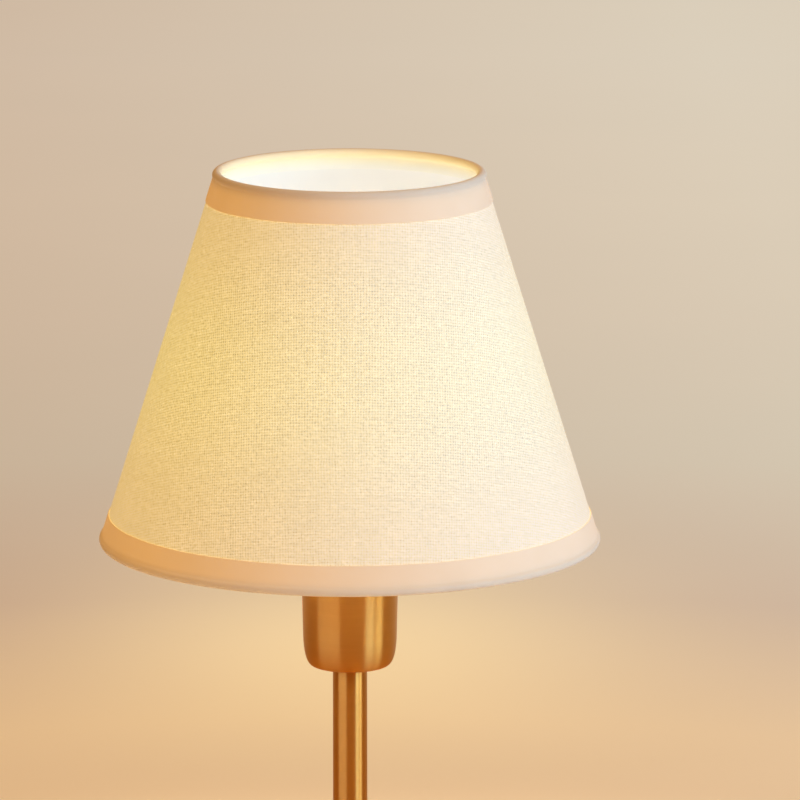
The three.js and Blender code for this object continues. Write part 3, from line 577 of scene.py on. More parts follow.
print("lamp: finishes")
finishes = {
    "brushed_brass": makeBrass("brushedBrass", (brassFinish["deep"], brassFinish["light"]),
                               brassFinish["roughness"], brassFinish["lines"], 0.97, 0.12),
    "contact_brass": makeBrass("rolledBrass", ((0.62, 0.42, 0.17), (0.80, 0.58, 0.28)),
                               0.28, 3000.0, 0.3),
    "zinc_steel": makeBrass("zincSteel", ((0.46, 0.47, 0.49), (0.62, 0.63, 0.64)),
                            0.34, 2500.0, 0.3),
    "bulb_cap_metal": makeBrass("bulbCapMetal", ((0.60, 0.60, 0.60), (0.76, 0.76, 0.75)),
                                0.30, 4000.0, 0.3),
    "solder": makePlain("solder", (0.46, 0.46, 0.45), (0.62, 0.62, 0.60), 0.38, 900.0, 220.0,
                        0.00006, Metallic=1.0),
    "cast_weight": makePlain("castIron", (0.10, 0.10, 0.105), (0.19, 0.185, 0.18), 0.72, 1300.0,
                             110.0, 0.0003, Metallic=0.8),
    "dark_plastic": makePlain("darkPlastic", (0.035, 0.035, 0.036), (0.06, 0.058, 0.056), 0.5),
    "holder_plastic": makePlain("holderPlastic", (0.80, 0.78, 0.72), (0.86, 0.84, 0.79), 0.38,
                                2200.0, 80.0, 0.00001),
    "steatite": makePlain("firedSteatite", (0.80, 0.78, 0.73), (0.90, 0.88, 0.84), 0.62, 2600.0,
                          150.0, 0.00005),
    "blue_insulation": makePlain("blueInsulation", (0.05, 0.12, 0.33), (0.08, 0.17, 0.42), 0.45),
    "brown_insulation": makePlain("brownInsulation", (0.17, 0.07, 0.03), (0.26, 0.12, 0.06), 0.45),
    "white_enamel": makePlain("whiteEnamel", (0.80, 0.78, 0.72), (0.88, 0.86, 0.81), 0.36, 700.0,
                              90.0, 0.00004),
    "black_glass": makePlain("blackGlass", (0.02, 0.02, 0.02), (0.045, 0.04, 0.045), 0.16),
    "bulb_plastic": makePlain("bulbPlastic", (0.80, 0.79, 0.75), (0.87, 0.86, 0.83), 0.42, 2400.0,
                              90.0, 0.00001),
    "board": makePlain("boardMask", (0.72, 0.74, 0.71), (0.84, 0.86, 0.82), 0.4, 1800.0, 120.0),
    "felt": makeFelt(),
    "linen": makeLinen(),
    "shade_liner": makeGlowing(linerFinish),
    "opal_diffuser": makeGlowing(opalFinish),
}
bottomTapeFinish = makeTapeFinish("bindingTapeLower", footWire)
topTapeFinish = makeTapeFinish("bindingTapeUpper", headWire)


# Surfaces worked out on grids

def turned(profile, angles):
    # Each profile point (radius, height) goes round Z: x = r cos a, y = r sin a, z = h
    radius, height = profile[..., 0], profile[..., 1]
    if profile.ndim == 2:
        radius, height = radius[:, None], height[:, None]
    flat = np.zeros_like(angles)[None, :]
    return np.stack([radius * np.cos(angles), radius * np.sin(angles), height + flat], -1)


def waves(angles, terms):
    # Sum of height * sin(count * angle + phase), with count, phase and height from each term
    return sum(height * np.sin(count * angles + phase) for count, phase, height in terms)


def fullTurn(count):
    # Angles one even step apart, from 0 up to one step before the whole turn
    return np.arange(count) * turn / count


def runningLength(points, axis, closed):
    # Mean distance from one row or column to the next, added up, in metres
    following = np.roll(points, -1, axis)
    steps = np.linalg.norm(following - points, axis=-1).mean(axis=1 - axis) * mm
    if not closed:
        steps = steps[:-1]
    return np.concatenate([[0.0], np.cumsum(steps)])


def gridFaces(points, closedRows, closedColumns, uv):
    # Cell (i, j) is the quad of points (i,j), (i,j+1), (i+1,j+1), (i+1,j)
    rows, columns = points.shape[:2]
    i, j = np.meshgrid(np.arange(rows if closedRows else rows - 1),
                       np.arange(columns if closedColumns else columns - 1), indexing="ij")
    nextI, nextJ = (i + 1) % rows, (j + 1) % columns
    quads = np.stack([i * columns + j, i * columns + nextJ,
                      nextI * columns + nextJ, nextI * columns + j], -1).reshape(-1, 4)
    if uv is None:
        across, along = np.meshgrid(runningLength(points, 1, closedColumns),
                                    runningLength(points, 0, closedRows))
        uv = np.stack([across, along], -1)
    corners = np.stack([uv[i, j], uv[i, j + 1], uv[i + 1, j + 1], uv[i + 1, j]], -2)
    return quads, corners.reshape(-1, 4, 2)


def buildPiece(name, patches, crease=38.0):
    # patches: (points, closedRows, closedColumns[, uv]) each, one closed surface. The volume of a
    # patch is the sum of v0 . (v1 x v2) over its triangles; if negative, its faces are turned round.
    places, faces, uvs, offset = [], [], [], 0
    for points, closedRows, closedColumns, *uv in patches:
        quads, corners = gridFaces(points, closedRows, closedColumns, uv[0] if uv else None)
        place = points.reshape(-1, 3) * mm
        a, b, c, d = (place[quads[:, k]] for k in range(4))
        volume = (a * np.cross(b, c)).sum() + (a * np.cross(c, d)).sum()
        if volume < 0:
            quads, corners = quads[:, ::-1], corners[:, ::-1]
        places.append(place)
        faces.append(quads + offset)
        uvs.append(corners)
        offset += len(place)
    place, quads = np.concatenate(places), np.concatenate(faces).astype(np.int32)
    mesh = bpy.data.meshes.new(name)
    mesh.vertices.add(len(place))
    mesh.vertices.foreach_set("co", place.astype(np.float32).ravel())
    mesh.loops.add(quads.size)
    mesh.loops.foreach_set("vertex_index", quads.ravel())
    mesh.polygons.add(len(quads))
    mesh.polygons.foreach_set("loop_start", np.arange(0, quads.size, 4, dtype=np.int32))
    mesh.update(calc_edges=True)
    mesh.uv_layers.new(name="surface").data.foreach_set(
        "uv", np.concatenate(uvs).astype(np.float32).ravel())

    # Points that fall together, as at a pole, become one
    merged = bmesh.new()
    merged.from_mesh(mesh)
    bmesh.ops.remove_doubles(merged, verts=merged.verts, dist=1e-6)
    merged.to_mesh(mesh)
    merged.free()
    mesh.validate()
    mesh.polygons.foreach_set("use_smooth", np.ones(len(mesh.polygons), dtype=bool))
    mesh.set_sharp_from_angle(angle=math.radians(crease))
    piece = bpy.data.objects.new(name, mesh)
    bpy.context.scene.collection.objects.link(piece)
    return piece


def dress(piece, body, slot, replaced, finish=None):
    # Gives a piece the finish of its slot, hides the nodes that it stands for and attaches it to the body it
    # moves with
    piece.data.materials.append(finish or finishes[slot])
    if replaced:
        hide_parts(*replaced)
    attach(piece, body)
    return piece


def turnedPiece(name, profile, angles, body, slot, node, crease=38.0, closed=True, finish=None):
    # closed is False where the profile starts and ends on the axis
    patch = (turned(profile, angles), closed, True)
    return dress(buildPiece(name, [patch], crease), body, slot, [node], finish)


def softened(corners, reach, steps=5):
    # Corners of a closed profile that turn by more than 12 degrees become quadratic curves
    # (1-t)^2 start + 2t(1-t) corner + t^2 end, whose ends lie one reach from the corner
    corners = np.asarray(corners, float)
    back, ahead = np.roll(corners, 1, 0) - corners, np.roll(corners, -1, 0) - corners
    backLength = np.linalg.norm(back, axis=1, keepdims=True)
    aheadLength = np.linalg.norm(ahead, axis=1, keepdims=True)
    turning = -(back * ahead).sum(1, keepdims=True) / (backLength * aheadLength)
    sharp = (turning < math.cos(math.radians(12.0))) & (corners[:, :1] > 1e-6)
    cut = np.minimum(np.minimum(backLength, aheadLength) * 0.45, reach) * sharp
    start, end = corners + back / backLength * cut, corners + ahead / aheadLength * cut
    t = np.linspace(0.0, 1.0, steps)[None, :, None]
    curve = (1 - t) ** 2 * start[:, None] + 2 * t * (1 - t) * corners[:, None] + t ** 2 * end[:, None]
    keep = np.repeat(sharp, steps, 1)
    keep[:, 0] = True
    return curve[keep]


def walled(line, wall):
    # The line and its copy one wall to the left, as one closed profile
    ahead = np.gradient(line, axis=0)
    ahead /= np.linalg.norm(ahead, axis=1, keepdims=True)
    left = np.stack([-ahead[:, 1], ahead[:, 0]], -1)
    return np.concatenate([line, (line + left * wall)[::-1]])


def bezier(points, count):
    # Quadratic or cubic curve through the first and last point, pulled by those between
    points = np.asarray(points, float)
    degree = len(points) - 1
    t = np.linspace(0.0, 1.0, count)[:, None]
    weights = [math.comb(degree, k) * t ** k * (1 - t) ** (degree - k) for k in range(degree + 1)]
    return sum(weight * point for weight, point in zip(weights, points))


def tube(path, radii, sides, side):
    # A round section carried along a path that lies in the plane square to the given side vector
    path, radii = np.asarray(path, float), np.asarray(radii, float)
    ahead = np.gradient(path, axis=0)
    ahead /= np.linalg.norm(ahead, axis=1, keepdims=True)
    up = np.cross(ahead, side)
    angle = fullTurn(sides)[None, :, None]
    ring = np.cos(angle) * np.asarray(side)[None, None, :] + np.sin(angle) * up[:, None, :]
    return path[:, None, :] + radii[:, None, None] * ring


def cappedPath(path, radius):
    # The path with its end points twice: the outer ones have no radius, so each end closes
    path = np.asarray(path, float)
    full = np.concatenate([path[:1], path, path[-1:]])
    ahead = np.gradient(path, axis=0)
    nudge = ahead[[0, -1]] / np.linalg.norm(ahead[[0, -1]], axis=1, keepdims=True) * 1e-4
    full[0] -= nudge[0]
    full[-1] += nudge[1]
    radii = np.full(len(full), radius)
    radii[[0, -1]] = 0.0
    return full, radii


# Shade

def besideWire(wire, along, out):
    # Point = wire + up the wall * along (down it for the upper wire) + outwards * out
    along, out = np.asarray(along)[..., None], np.asarray(out)[..., None]
    return wire + wallUp * along * wallSide(wire) + wallOut * out


def wallAngles(count):
    # Angles from the seam at the back all the way round, closer together beside the seam
    beside = turn - np.concatenate([[0.0015, 0.004], np.linspace(0.0, 0.16, 17)[1:]])
    return np.unique(np.concatenate([fullTurn(count), beside])) + turn / 4 - turn


def wallLayer(offsets, rows, angles, lap):
    # Wall points = foot + slope * s + outwards * offset. The outer face rises by lapRise over the
    # last lapWidth before the seam, where the cloth laps over itself.
    s = np.linspace(shadeSizes["wallEnd"], wallLength - shadeSizes["wallEnd"], rows)
    raised = lap * lapHeight(angles)
    outer = besideWire(footWire, s, np.full(rows, offsets[1]))
    inner = besideWire(footWire, s[::-1], np.full(rows, offsets[0]))
    profile = np.concatenate([outer, inner])[:, None, :] + np.zeros((1, len(angles), 1))
    isOuter = (np.arange(2 * rows) < rows)[:, None, None]
    profile = profile + isOuter * raised[None, :, None] * wallOut
    return profile, s


def lapHeight(angles):
    # 0 away from the seam; rises as 3t^2 - 2t^3 over a third of the lap and stays up to its edge
    reach = shadeSizes["lapWidth"] / shadeSizes["meanRadius"]
    before = (angles[0] + turn) - angles
    t = np.clip((reach - before) / (reach * 0.35), 0.0, 1.0)
    return shadeSizes["lapRise"] * t * t * (3 - 2 * t) * (before > 1e-4)


def developed(s, angles):
    # The cone laid flat: rho = distance from its tip, psi = angle from the front * sine of the lean
    rho = (footWire[0] / coneSine - s)[:, None]
    psi = (angles + turn / 4)[None, :] * coneSine
    return np.stack([rho * np.sin(psi), -rho * np.cos(psi)], -1) * mm


def makeShadeWall():
    # Linen and liner are one closed profile each, turned; the linen's uv is its cone laid flat
    angles = wallAngles(300)
    rows = 110
    profile, s = wallLayer(shadeSizes["linen"], rows, angles, 1.0)
    closing = np.concatenate([angles, [angles[0] + turn]])
    flat = developed(np.concatenate([s, s[::-1], s[:1]]), closing)
    points = turned(profile, angles)
    linen = dress(buildPiece("linenShade", [(points, True, True, flat)]),
                  "shade", "linen", ["shade_fabric"])

    linerAngles = fullTurn(192)
    profile, _ = wallLayer(shadeSizes["liner"], 40, linerAngles, 0.0)
    turnedPiece("shadeLiner", profile, linerAngles, "shade", "shade_liner", "shade_liner")
    return linen


def tapeLine(wire, roll, offset, depthOut, depthIn):
    # Outer edge, straight to the roll, round the wire, then straight up the inside
    start = math.acos(offset / roll)
    bend = start - np.linspace(0.0, 1.0, 25) * (math.pi + 2 * start)
    outside = besideWire(wire, np.linspace(depthOut, roll * math.sin(start) + 0.5, 14), np.full(14, offset))
    rolled = besideWire(wire, roll * np.sin(bend), roll * np.cos(bend))
    inside = besideWire(wire, np.linspace(roll * math.sin(start) + 0.5, depthIn, 8), np.full(8, -offset))
    return np.concatenate([outside, rolled, inside])


def makeBinding(name, wire, node, finish, notched):
    # The tape is a strip between two lines, near and far from the wall, turned. Beside each arm
    # of the fitter its inner end stops under the wire, so that the arm passes.
    near, gap = shadeSizes["tapeGap"], shadeSizes["tape"]
    bandDepth = shadeSizes["footBandDepth"] if wire is footWire else shadeSizes["headBandDepth"]
    outer = tapeLine(wire, shadeSizes["roll"], near + gap, bandDepth, shadeSizes["hemDepth"])
    inner = tapeLine(wire, shadeSizes["wire"] + seat, near, bandDepth, shadeSizes["hemDepth"])
    middle = (outer + inner) / 2
    length = np.concatenate([[0.0], np.cumsum(np.linalg.norm(np.diff(middle, axis=0), axis=1))])
    fraction = length / length[-1]

    # Angles all the way round, closer together beside the seam and the arms
    extra = [turn - np.linspace(0.0, 0.12, 9)[1:], np.array([0.004, 0.02])]
    if notched:
        notchPlaces = (armAngles - turn / 4)[:, None] + np.linspace(-0.032, 0.032, 17)[None, :]
        extra.append(np.mod(notchPlaces, turn).ravel())
    angles = np.unique(np.round(np.concatenate([fullTurn(264), *extra]), 6)) + turn / 4 - turn

    # Up to the bottom of the roll the strip is the same all round; only its inner part stops short
    held, notchStop = shadeSizes["evenShare"], shadeSizes["notchStop"]
    stop = np.ones_like(angles)
    if notched:
        apart = np.abs(np.mod(angles[:, None] - armAngles[None, :] + math.pi, turn) - math.pi).min(1)
        halfWidth, run = shadeSizes["notch"]
        t = np.clip((apart * wire[0] - halfWidth) / run, 0.0, 1.0)
        stop = notchStop + (1 - notchStop) * t * t * (3 - 2 * t)
    start = (waves(angles, shadeSizes["edgeWaves"]) + 0.3) / length[-1] * 0.5
    share = np.linspace(0.0, 1.0, 52)[:, None]
    whole = start[None, :] * (1 - share) + share
    where = np.minimum(whole, held) + np.maximum(whole - held, 0.0) * (stop[None, :] - held) / (1 - held)

    def carried(line):
        return np.stack([np.interp(where, fraction, line[:, 0]), np.interp(where, fraction, line[:, 1])], -1)

    # The face over the linen lifts a little, and where the linen laps; points between the two
    # lines round the strip's cut edges
    band = np.clip(1 - where * length[-1] / 12.0, 0.0, 1.0)
    lift = waves(angles, shadeSizes["bandWaves"]) + 1.2 * lapHeight(angles)
    far = carried(outer) + (band * lift[None, :] + lapHeight(angles)[None, :] * 0.6)[..., None] * wallOut
    close = carried(inner)
    middleFar, middleClose = far * 0.82 + close * 0.18, close * 0.82 + far * 0.18
    profile = np.concatenate([far[:1] * 0.5 + close[:1] * 0.5, middleFar[:1], far[1:-1], middleFar[-1:],
                              middleClose[-1:], close[::-1][1:-1], middleClose[:1]])
    return turnedPiece(name, profile, angles, "shade", "binding_tape", node, 50.0, finish=finish)


def makeWires():
    # A circle round the wire's middle, turned
    section = fullTurn(14)
    for name, wire, node in (("lowerWireRing", footWire, "bottom_wire_ring"),
                             ("upperWireRing", headWire, "top_wire_ring")):
        circle = wire + shadeSizes["wire"] * np.stack([np.cos(section), np.sin(section)], -1)
        turnedPiece(name, circle, fullTurn(192), "shade", "white_enamel", node)


fitterSizes = {"bore": 14.6, "radius": 21.5, "foot": 228.4, "thickness": 1.2, "arm": 1.2,
               "armStart": 17.8, "armBend": 30.5, "armLevel": 226.9,
               "bead": (1.7, 0.75, 0.62),          # half length, half width and half height
               "beadPlace": (19.6, 1.15, 0.35)}    # radius, distance beside the arm, depth


def makeFitter():
    # The ring is turned; each arm is a round section on a line that runs level, bends and slopes
    # to the lower wire. Bead = centre + long cos u + side sin u cos v + up sin u sin v.
    f = fitterSizes
    top = f["foot"] + f["thickness"]
    ring = softened([(f["bore"], f["foot"]), (f["radius"], f["foot"]), (f["radius"], top),
                     (f["bore"], top)], 0.45)
    turnedPiece("fitterRing", ring, fullTurn(120), "shade", "white_enamel", "fitter_ring")
    welds = []
    up = np.array([0.0, 0.0, 1.0])
    for index, angle in enumerate(armAngles):
        outward = np.array([math.cos(angle), math.sin(angle), 0.0])
        side = np.array([-math.sin(angle), math.cos(angle), 0.0])
        start = np.array([f["armStart"], f["armLevel"]])
        bend = np.array([f["armBend"], f["armLevel"]])
        end = np.array([footWire[0] - shadeSizes["wire"] - seat, footWire[1]])
        level, slope = start + (bend - start) * 0.6, bend + (end - bend) * 0.08
        line = np.concatenate([
            start + (level - start) * np.linspace(0.0, 0.95, 6)[:, None],
            bezier([level, bend, slope], 14),
            slope + (end - slope) * np.linspace(0.05, 1.0, 16)[:, None]])
        path = line[:, :1] * outward + line[:, 1:] * up
        full, radii = cappedPath(path, f["arm"])
        points = tube(full, radii, 16, side)
        dress(buildPiece(f"fitterArm{index + 1}", [(points, False, True)]),
              "shade", "white_enamel", [f"fitter_arm_{index + 1}"])

        # Weld bead under the ring, on each flank of the arm
        u, v = np.linspace(0.0, math.pi, 9)[:, None], fullTurn(14)[None, :]
        long, wide, tall = f["bead"]
        away, beside, depth = f["beadPlace"]
        for flank in (-1.0, 1.0):
            centre = outward * away + side * flank * beside + up * (f["foot"] - depth)
            bead = (centre + (np.cos(u) * np.ones_like(v))[..., None] * outward * long
                    + (np.sin(u) * np.cos(v))[..., None] * side * wide
                    + (np.sin(u) * np.sin(v))[..., None] * up * tall)
            welds.append((bead, False, True))
    dress(buildPiece("fitterWelds", welds), "shade", "white_enamel", [])


shadeRingSizes = {"bore": 14.3, "root": 16.4, "rib": 0.8, "ribs": 20, "flange": 18.5,
                  "flangeHeight": 1.6, "foot": 229.9, "height": 7.2}


def makeShadeRing():
    # Outer wall radius = root + rib * soft square wave of 20 ribs, faded at the wall's two ends
    f = shadeRingSizes
    foot, top = f["foot"], f["foot"] + f["height"]
    step = foot + f["flangeHeight"]
    wall = np.stack([np.full(9, f["root"]), np.linspace(step + 0.1, top - 0.1, 9)], -1)
    corners = np.concatenate([
        [(f["bore"], foot), (f["flange"], foot), (f["flange"], step), (f["root"], step)], wall,
        [(f["root"], top), (f["bore"], top)]])
    profile = softened(corners, 0.35)
    angles = fullTurn(f["ribs"] * 12)
    wave = np.clip(0.5 + 2.2 * np.sin(angles * f["ribs"]), 0.0, 1.0)
    wave = wave * wave * (3 - 2 * wave)
    radius, height = profile[:, 0], profile[:, 1]
    onWall = (radius > f["root"] - 0.5) & (radius < f["root"] + 0.5) & (height > step + 0.05)
    fade = np.clip((top - height) / 0.5, 0.0, 1.0) * onWall
    grid = np.repeat(profile[:, None, :], len(angles), 1)
    grid[..., 0] += f["rib"] * fade[:, None] * wave[None, :]
    turnedPiece("shadeRing", grid, angles, "shade_ring", "holder_plastic", "shade_ring", 55.0)


def helix(height, angles, pitch, low, high, depth):
    # Rounded thread: depth * (1 + cos(2 pi (h / pitch - a / 2 pi))) / 2, faded at its two ends
    fade = np.clip((height - low) / pitch, 0.0, 1.0) * np.clip((high - height) / pitch, 0.0, 1.0)
    phase = turn * height[:, None] / pitch - angles[None, :]
    return depth * fade[:, None] * (0.5 + 0.5 * np.cos(phase))


# Stand

standSizes = {
    "baseRadius": 60.0,
    "baseHeight": 22.0,
    "baseRound": 6.0,
    "baseWall": 1.0,
    "baseLift": 1.2,
    "bore": 5.3,
    "stemRadius": 7.0,
    "stemWall": 0.6,
    "stemFoot": 22.3,
    "stemHead": 164.5,
    "feltRadius": 58.7,
    "feltThickness": 2.0,
    "feltWaves": ((17, 0.0, 0.10), (41, 1.0, 0.07)),
    "bushHeight": 8.5,
    "bushHole": 4.9,
}


def makeBase():
    # Outer line = straight side, quarter circle and flat top; with its wall inside it is turned
    f = standSizes
    corner = f["baseRadius"] - f["baseRound"]
    arc = np.linspace(0.0, turn / 4, 20)[:, None]
    rounded = np.array([corner, f["baseHeight"] - f["baseRound"]]) + f["baseRound"] * np.concatenate(
        [np.cos(arc), np.sin(arc)], 1)
    top = np.stack([np.linspace(corner - 1.0, f["bore"], 12), np.full(12, f["baseHeight"])], -1)
    line = np.concatenate([[(f["baseRadius"], f["baseLift"]), (f["baseRadius"], 6.0),
                            (f["baseRadius"], 12.0), (f["baseRadius"], 15.0)], rounded, top])
    profile = softened(walled(line, f["baseWall"]), 0.3, 4)
    shell = buildPiece("baseShell", [(turned(profile, fullTurn(192)), True, True)])
    drillBushHole(shell)
    dress(shell, "stand", "brushed_brass", ["base_shell"])

    # Felt: a disc with a soft edge that wanders a little
    edge = softened([(0.0, 0.0), (f["feltRadius"], 0.0), (f["feltRadius"], f["feltThickness"]),
                     (0.0, f["feltThickness"])], 0.7, 6)
    angles = fullTurn(160)
    grid = np.repeat(edge[:, None, :], len(angles), 1)
    ripple = waves(angles, f["feltWaves"]) - sum(height for _, _, height in f["feltWaves"])
    grid[..., 0] += (edge[:, 0] > 50.0)[:, None] * ripple[None, :]
    return turnedPiece("feltPad", grid, angles, "stand", "felt", "felt_pad", closed=False)


def drillBushHole(shell):
    # The cord's hole at the back: a round cutter along Y, taken away from the shell
    f = standSizes
    path = np.array([[0.0, y, f["bushHeight"]] for y in (50.0, 56.0, 62.0)])
    full, radii = cappedPath(path, f["bushHole"])
    cutter = buildPiece("bushCutter", [(tube(full, radii, 48, np.array([1.0, 0.0, 0.0])), False, True)])
    drill = shell.modifiers.new("bushHole", "BOOLEAN")
    drill.operation = "DIFFERENCE"
    drill.solver = "EXACT"
    drill.object = cutter
    evaluated = shell.evaluated_get(bpy.context.evaluated_depsgraph_get())
    drilled = bpy.data.meshes.new_from_object(evaluated)
    shell.modifiers.clear()
    shell.data = drilled
    drilled.set_sharp_from_angle(angle=math.radians(38.0))
    bpy.data.objects.remove(cutter)


def makeStem():
    # A rectangle of the wall's section with softened corners, turned
    f = standSizes
    inner = f["stemRadius"] - f["stemWall"]
    heights = np.linspace(f["stemFoot"], f["stemHead"], 12)
    corners = np.concatenate([np.stack([np.full(12, f["stemRadius"]), heights], -1),
                              [(inner, f["stemHead"]), (inner, f["stemFoot"])]])
    turnedPiece("stemTube", softened(corners, 0.25, 4), fullTurn(96), "stand", "brushed_brass",
                "stem_tube")


cupSizes = {"foot": 164.8, "height": 48.2, "wall": 1.0, "bore": 5.3, "seat": 8.6,
            "dome": (15.4, 1.7), "corner": (18.9, 2.6), "shoulder": (19.1, 15.2), "rim": 19.9}


def makeCup():
    # Flat seat, shallow dome, one curved corner and a slightly flared wall, turned
    f = cupSizes
    corner = bezier([f["dome"], f["corner"], f["shoulder"]], 26)
    wallHeights = np.linspace(f["shoulder"][1] + 2.0, f["height"], 12)
    share = (wallHeights - f["shoulder"][1]) / (f["height"] - f["shoulder"][1])
    wall = np.stack([f["shoulder"][0] + share * (f["rim"] - f["shoulder"][0]), wallHeights], -1)
    dome = bezier([(f["seat"] + 0.3, 0.05), (12.0, 0.95), (f["dome"][0] - 0.4, f["dome"][1] - 0.1)], 6)
    line = np.concatenate([[(f["bore"], 0.0), (f["seat"] - 0.5, 0.0), (f["seat"], 0.0)], dome, corner, wall])
    line[:, 1] += f["foot"]
    profile = softened(walled(line, f["wall"]), 0.3, 4)
    turnedPiece("socketCup", profile, fullTurn(192), "stand", "brushed_brass", "socket_cup")


holderSizes = {"radius": 15.2, "bore": 13.8, "capTop": 200.0, "flange": 17.5, "flangeTop": 228.1,
               "flangeThickness": 1.5, "thread": 14.0, "threadDepth": 0.4, "pitch": 2.0, "mouth": 8.8,
               "mouthTop": 237.7, "lip": 1.5, "neck": 12.5}


def makeHolder():
    # Sleeve, flange and threaded mouth as one closed profile, turned. On the thread the radius is
    # thread - threadDepth + helix.
    f = holderSizes
    flangeFoot = f["flangeTop"] - f["flangeThickness"]
    foot = f["capTop"] + seat
    threadWall = np.stack([np.full(40, f["thread"]),
                           np.linspace(f["flangeTop"] + seat, f["mouthTop"] - 0.9, 40)], -1)
    corners = np.concatenate([
        [(f["bore"], foot), (f["radius"], foot), (f["radius"], flangeFoot), (f["flange"], flangeFoot),
         (f["flange"], f["flangeTop"]), (f["thread"], f["flangeTop"])], threadWall,
        [(f["thread"] - 0.6, f["mouthTop"]), (f["mouth"], f["mouthTop"]),
         (f["mouth"], f["mouthTop"] - f["lip"]), (f["neck"], f["mouthTop"] - f["lip"]),
         (f["neck"], flangeFoot),
         (f["bore"], flangeFoot - 1.4)]])
    profile = softened(corners, 0.3, 4)
    angles = fullTurn(96)
    grid = np.repeat(profile[:, None, :], len(angles), 1)
    onThread = np.abs(profile[:, 0] - f["thread"]) < 0.01
    ridge = helix(profile[:, 1], angles, f["pitch"], f["flangeTop"], f["mouthTop"], f["threadDepth"])
    grid[..., 0] -= (f["threadDepth"] - ridge) * onThread[:, None]
    turnedPiece("holderSleeve", grid, angles, "stand", "holder_plastic", "holder_sleeve", 60.0)


# Bulb

bulbSizes = {"tip": 213.7, "capFoot": 4.3, "capHead": 23.0, "cap": 6.85, "capWall": 0.25, "ridge": 0.4,
             "pitch": 2.822, "collarFoot": 7.4, "collarHead": 14.6, "collarTop": 42.0,
             "radius": 17.5, "widest": 58.0, "length": 99.0, "wall": 0.9}


def makeBulb():
    f = bulbSizes
    angles = fullTurn(96)

    # Screw cap: rounded thread on both faces of a thin sheet
    low, high = f["tip"] + f["capFoot"], f["tip"] + f["capHead"]
    heights = np.linspace(low, high, 78)
    threadHigh = high - 3.6
    ridge = helix(heights, angles, f["pitch"], low, threadHigh, f["ridge"])
    plain = np.clip((heights - threadHigh + 1.2) / 1.2, 0.0, 1.0)[:, None]
    outer = f["cap"] - f["ridge"] * (1 - plain) + ridge * (1 - plain)
    inner = outer - f["capWall"]
    both = np.concatenate([outer, inner[::-1]])
    level = np.concatenate([heights, heights[::-1]])[:, None] + np.zeros_like(angles)[None, :]
    turnedPiece("bulbCap", np.stack([both, level], -1), angles, "bulb", "bulb_cap_metal", "bulb_cap",
                60.0)

    # Collar: a cone with a rounded foot and a small bead under the globe
    foot, top = high + seat, f["tip"] + f["collarTop"]
    spigot = f["cap"] - f["ridge"] - f["capWall"] - seat
    cone = bezier([(f["collarFoot"] + 0.7, foot + 3.0), (f["collarFoot"] + 2.2, foot + 9.0),
                   (f["collarHead"] - 0.7, top - 5.0)], 16)
    line = np.concatenate([
        [(0.0, foot - 9.0), (spigot - 0.6, foot - 9.0), (spigot, foot - 8.2), (spigot, foot),
         (f["collarFoot"] - 0.6, foot), (f["collarFoot"], foot + 0.5)], cone,
        [(f["collarHead"] - 0.35, top - 3.4), (f["collarHead"], top - 2.6),
         (f["collarHead"], top - 0.4), (f["collarHead"] - 0.3, top), (0.0, top)]])
    turnedPiece("bulbCollar", line, angles, "bulb", "bulb_plastic", "bulb_collar", 32.0, False)

    # Globe: candle outline with a wall, open at its foot
    globeFoot, widest, tip = top + seat, f["tip"] + f["widest"], f["tip"] + f["length"]
    lower = bezier([(f["collarHead"], globeFoot), (f["radius"], (globeFoot + widest) / 2),
                    (f["radius"], widest)], 14)
    upper = bezier([(f["radius"], widest), (f["radius"], widest + 14.0), (5.6, tip), (0.0, tip)], 30)
    outline = np.concatenate([lower, upper[1:]])
    inside = np.stack([outline[:, 0] * (1 - f["wall"] / f["radius"]),
                       globeFoot + (outline[:, 1] - globeFoot) * (1 - f["wall"] / (tip - globeFoot))], -1)
    profile = np.concatenate([inside[::-1], outline])
    globe = turnedPiece("bulbGlobe", profile, angles, "bulb", "opal_diffuser", "bulb_globe", 60.0, False)
    globe.visible_shadow = False


bushSizes = {"bore": 3.4, "outer": 4.6, "flange": 6.8, "flangeThickness": 1.2, "length": 5.0, "face": 61.5}


def makeCordBush():
    # Turned about its own axis, then laid along Y: (x, y, z) -> (x, face - z, height + y)
    f = bushSizes
    corners = [(f["bore"], 0.0), (f["flange"], 0.0), (f["flange"], f["flangeThickness"]),
               (f["outer"], f["flangeThickness"]), (f["outer"], f["length"]), (f["bore"], f["length"])]
    points = turned(softened(corners, 0.4), fullTurn(64))
    laid = np.stack([points[..., 0], f["face"] - points[..., 2],
                     standSizes["bushHeight"] + points[..., 1]], -1)
    dress(buildPiece("cordBush", [(laid, True, True)]), "stand", "dark_plastic", ["cord_inlet_bush"])


def dressCadNodes():
    # Every node that still shows gets the finish of its slot
    for part in frame["record"]["subparts"]:
        node = cadNodes[part["node"]]
        finish = finishes.get(part["material_slot"], bottomTapeFinish)
        for slot in node.material_slots:
            slot.material = finish


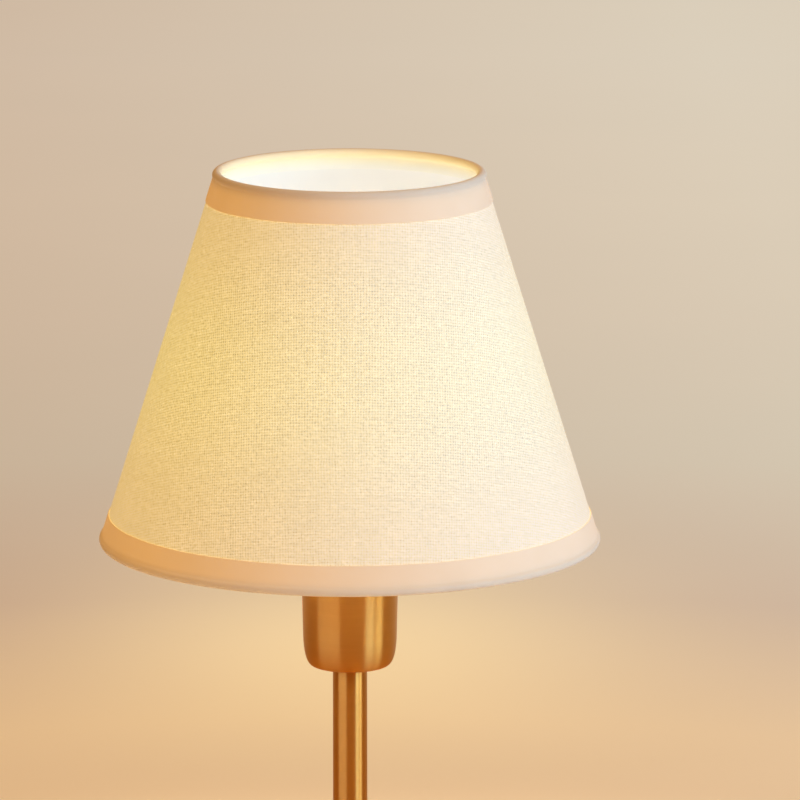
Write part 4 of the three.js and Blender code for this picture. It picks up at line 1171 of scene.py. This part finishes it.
def makeFloor():
    # Colour goes from near to far with the distance from the lamp, warm near it as painted lamp light; from
    # below it is clear
    half = studio["floorHalf"]
    mesh = bpy.data.meshes.new("floor")
    mesh.from_pydata([(-half, -half, 0.0), (half, -half, 0.0), (half, half, 0.0), (-half, half, 0.0)],
                     [], [(0, 1, 2, 3)])
    floor = bpy.data.objects.new("floor", mesh)
    bpy.context.scene.collection.objects.link(floor)
    material, shader, place = newFinish("paleFloor", Roughness=0.9, Specular_IOR_Level=0.1)
    tree = material.node_tree
    mottle = place.noise(5.0, 3.0, 0.5).remap(0.3, 0.7, 0.985, 1.015)

    # What the camera and the metal see besides: painted lamp light, a painted brighter daylight side and a
    # painted warm pool
    path = addNode(tree, "LightPath")
    across, behind, _ = place.parts()
    distance = addNode(tree, "VectorMath", {0: place}, operation="LENGTH")["Value"]
    farthest = studio["floorSeenPaintedLight"][-1][0]
    ramp = addNode(tree, "ValToRGB", {0: distance / farthest})[0]
    stops = ramp.socket.node.color_ramp.elements
    while len(stops) < len(studio["floorSeenPaintedLight"]):
        stops.new(1.0)
    for stop, (metres, colour) in zip(stops, studio["floorSeenPaintedLight"]):
        stop.position = metres / farthest
        stop.color = (*colour, 1.0)
    # Painted daylight: the floor is brighter on the side towards the daylight
    side = across.remap(-0.30, 0.30) * distance.remap(0.4, 1.3, 0.45, 1.0)
    # Painted warm pool of lamp light behind the lamp
    poolBehind, poolWide, poolDeep = studio["paintedPoolPlace"]
    poolX, poolY = across / poolWide, (behind - poolBehind) / poolDeep
    pool = calc("EXPONENT", (poolX * poolX + poolY * poolY) * -1.0)
    seen = ramp.plus(side.times(studio["paintedDaylightSide"])).plus(pool.times(studio["paintedLampPool"]))

    # Painted shade in reflections: glossy rays see the floor in front of the lamp darker, standing in for a
    # dim side of the room, so the metal shows little of it
    front = behind.remap(0.9, 0.35) * path["Is Glossy Ray"]
    share = front.mix((1.0, 1.0, 1.0), studio["frontShownPaintedShade"])
    shown = calc("MAXIMUM", calc("MAXIMUM", path["Is Camera Ray"], path["Is Glossy Ray"]),
                 path["Is Transmission Ray"])
    feed(shader, {"Base Color": mottle.times(studio["floorCloth"]).times(share),
                  "Emission Color": seen.times(share), "Emission Strength": shown})
    below = addNode(tree, "NewGeometry")["Backfacing"]
    principled = outputsOf(tree.nodes["Principled BSDF"])[0]
    clear = addNode(tree, "BsdfTransparent")[0]
    surface = addNode(tree, "MixShader", {0: below, 1: principled, 2: clear})[0]
    feed(tree.nodes["Material Output"].inputs, {"Surface": surface})
    floor.data.materials.append(material)


print("lamp: camera and light")
addCamera()
addWorld()
makeFloor()
print("lamp: shade")
linenShade = makeShadeWall()
lowerTape = makeBinding("lowerBinding", footWire, "bottom_binding", bottomTapeFinish, True)
upperTape = makeBinding("upperBinding", headWire, "top_binding", topTapeFinish, False)
makeWires()
makeFitter()
makeShadeRing()
print("lamp: stand and bulb")
feltPad = makeBase()
makeStem()
makeCup()
makeHolder()
makeCordBush()
makeBulb()
dressCadNodes()

shownPieces = [piece for piece in bpy.context.scene.objects if piece.type == "MESH"]
metalPieces = [piece for piece in shownPieces if finishes["brushed_brass"] in list(piece.data.materials)]
addLamps(metalPieces, [piece for piece in shownPieces if piece not in metalPieces])

# The linen blank is a ring sector; its rectangle and its area come from the cone laid flat
outerRho, innerRho = footWire[0] / coneSine * mm, headWire[0] / coneSine * mm
halfAngle = math.pi * coneSine
2 * outerRho * math.sin(halfAngle)
outerRho - innerRho * math.cos(halfAngle)
halfAngle * (outerRho ** 2 - innerRho ** 2)

bpy.context.scene.view_settings.view_transform = "Standard"
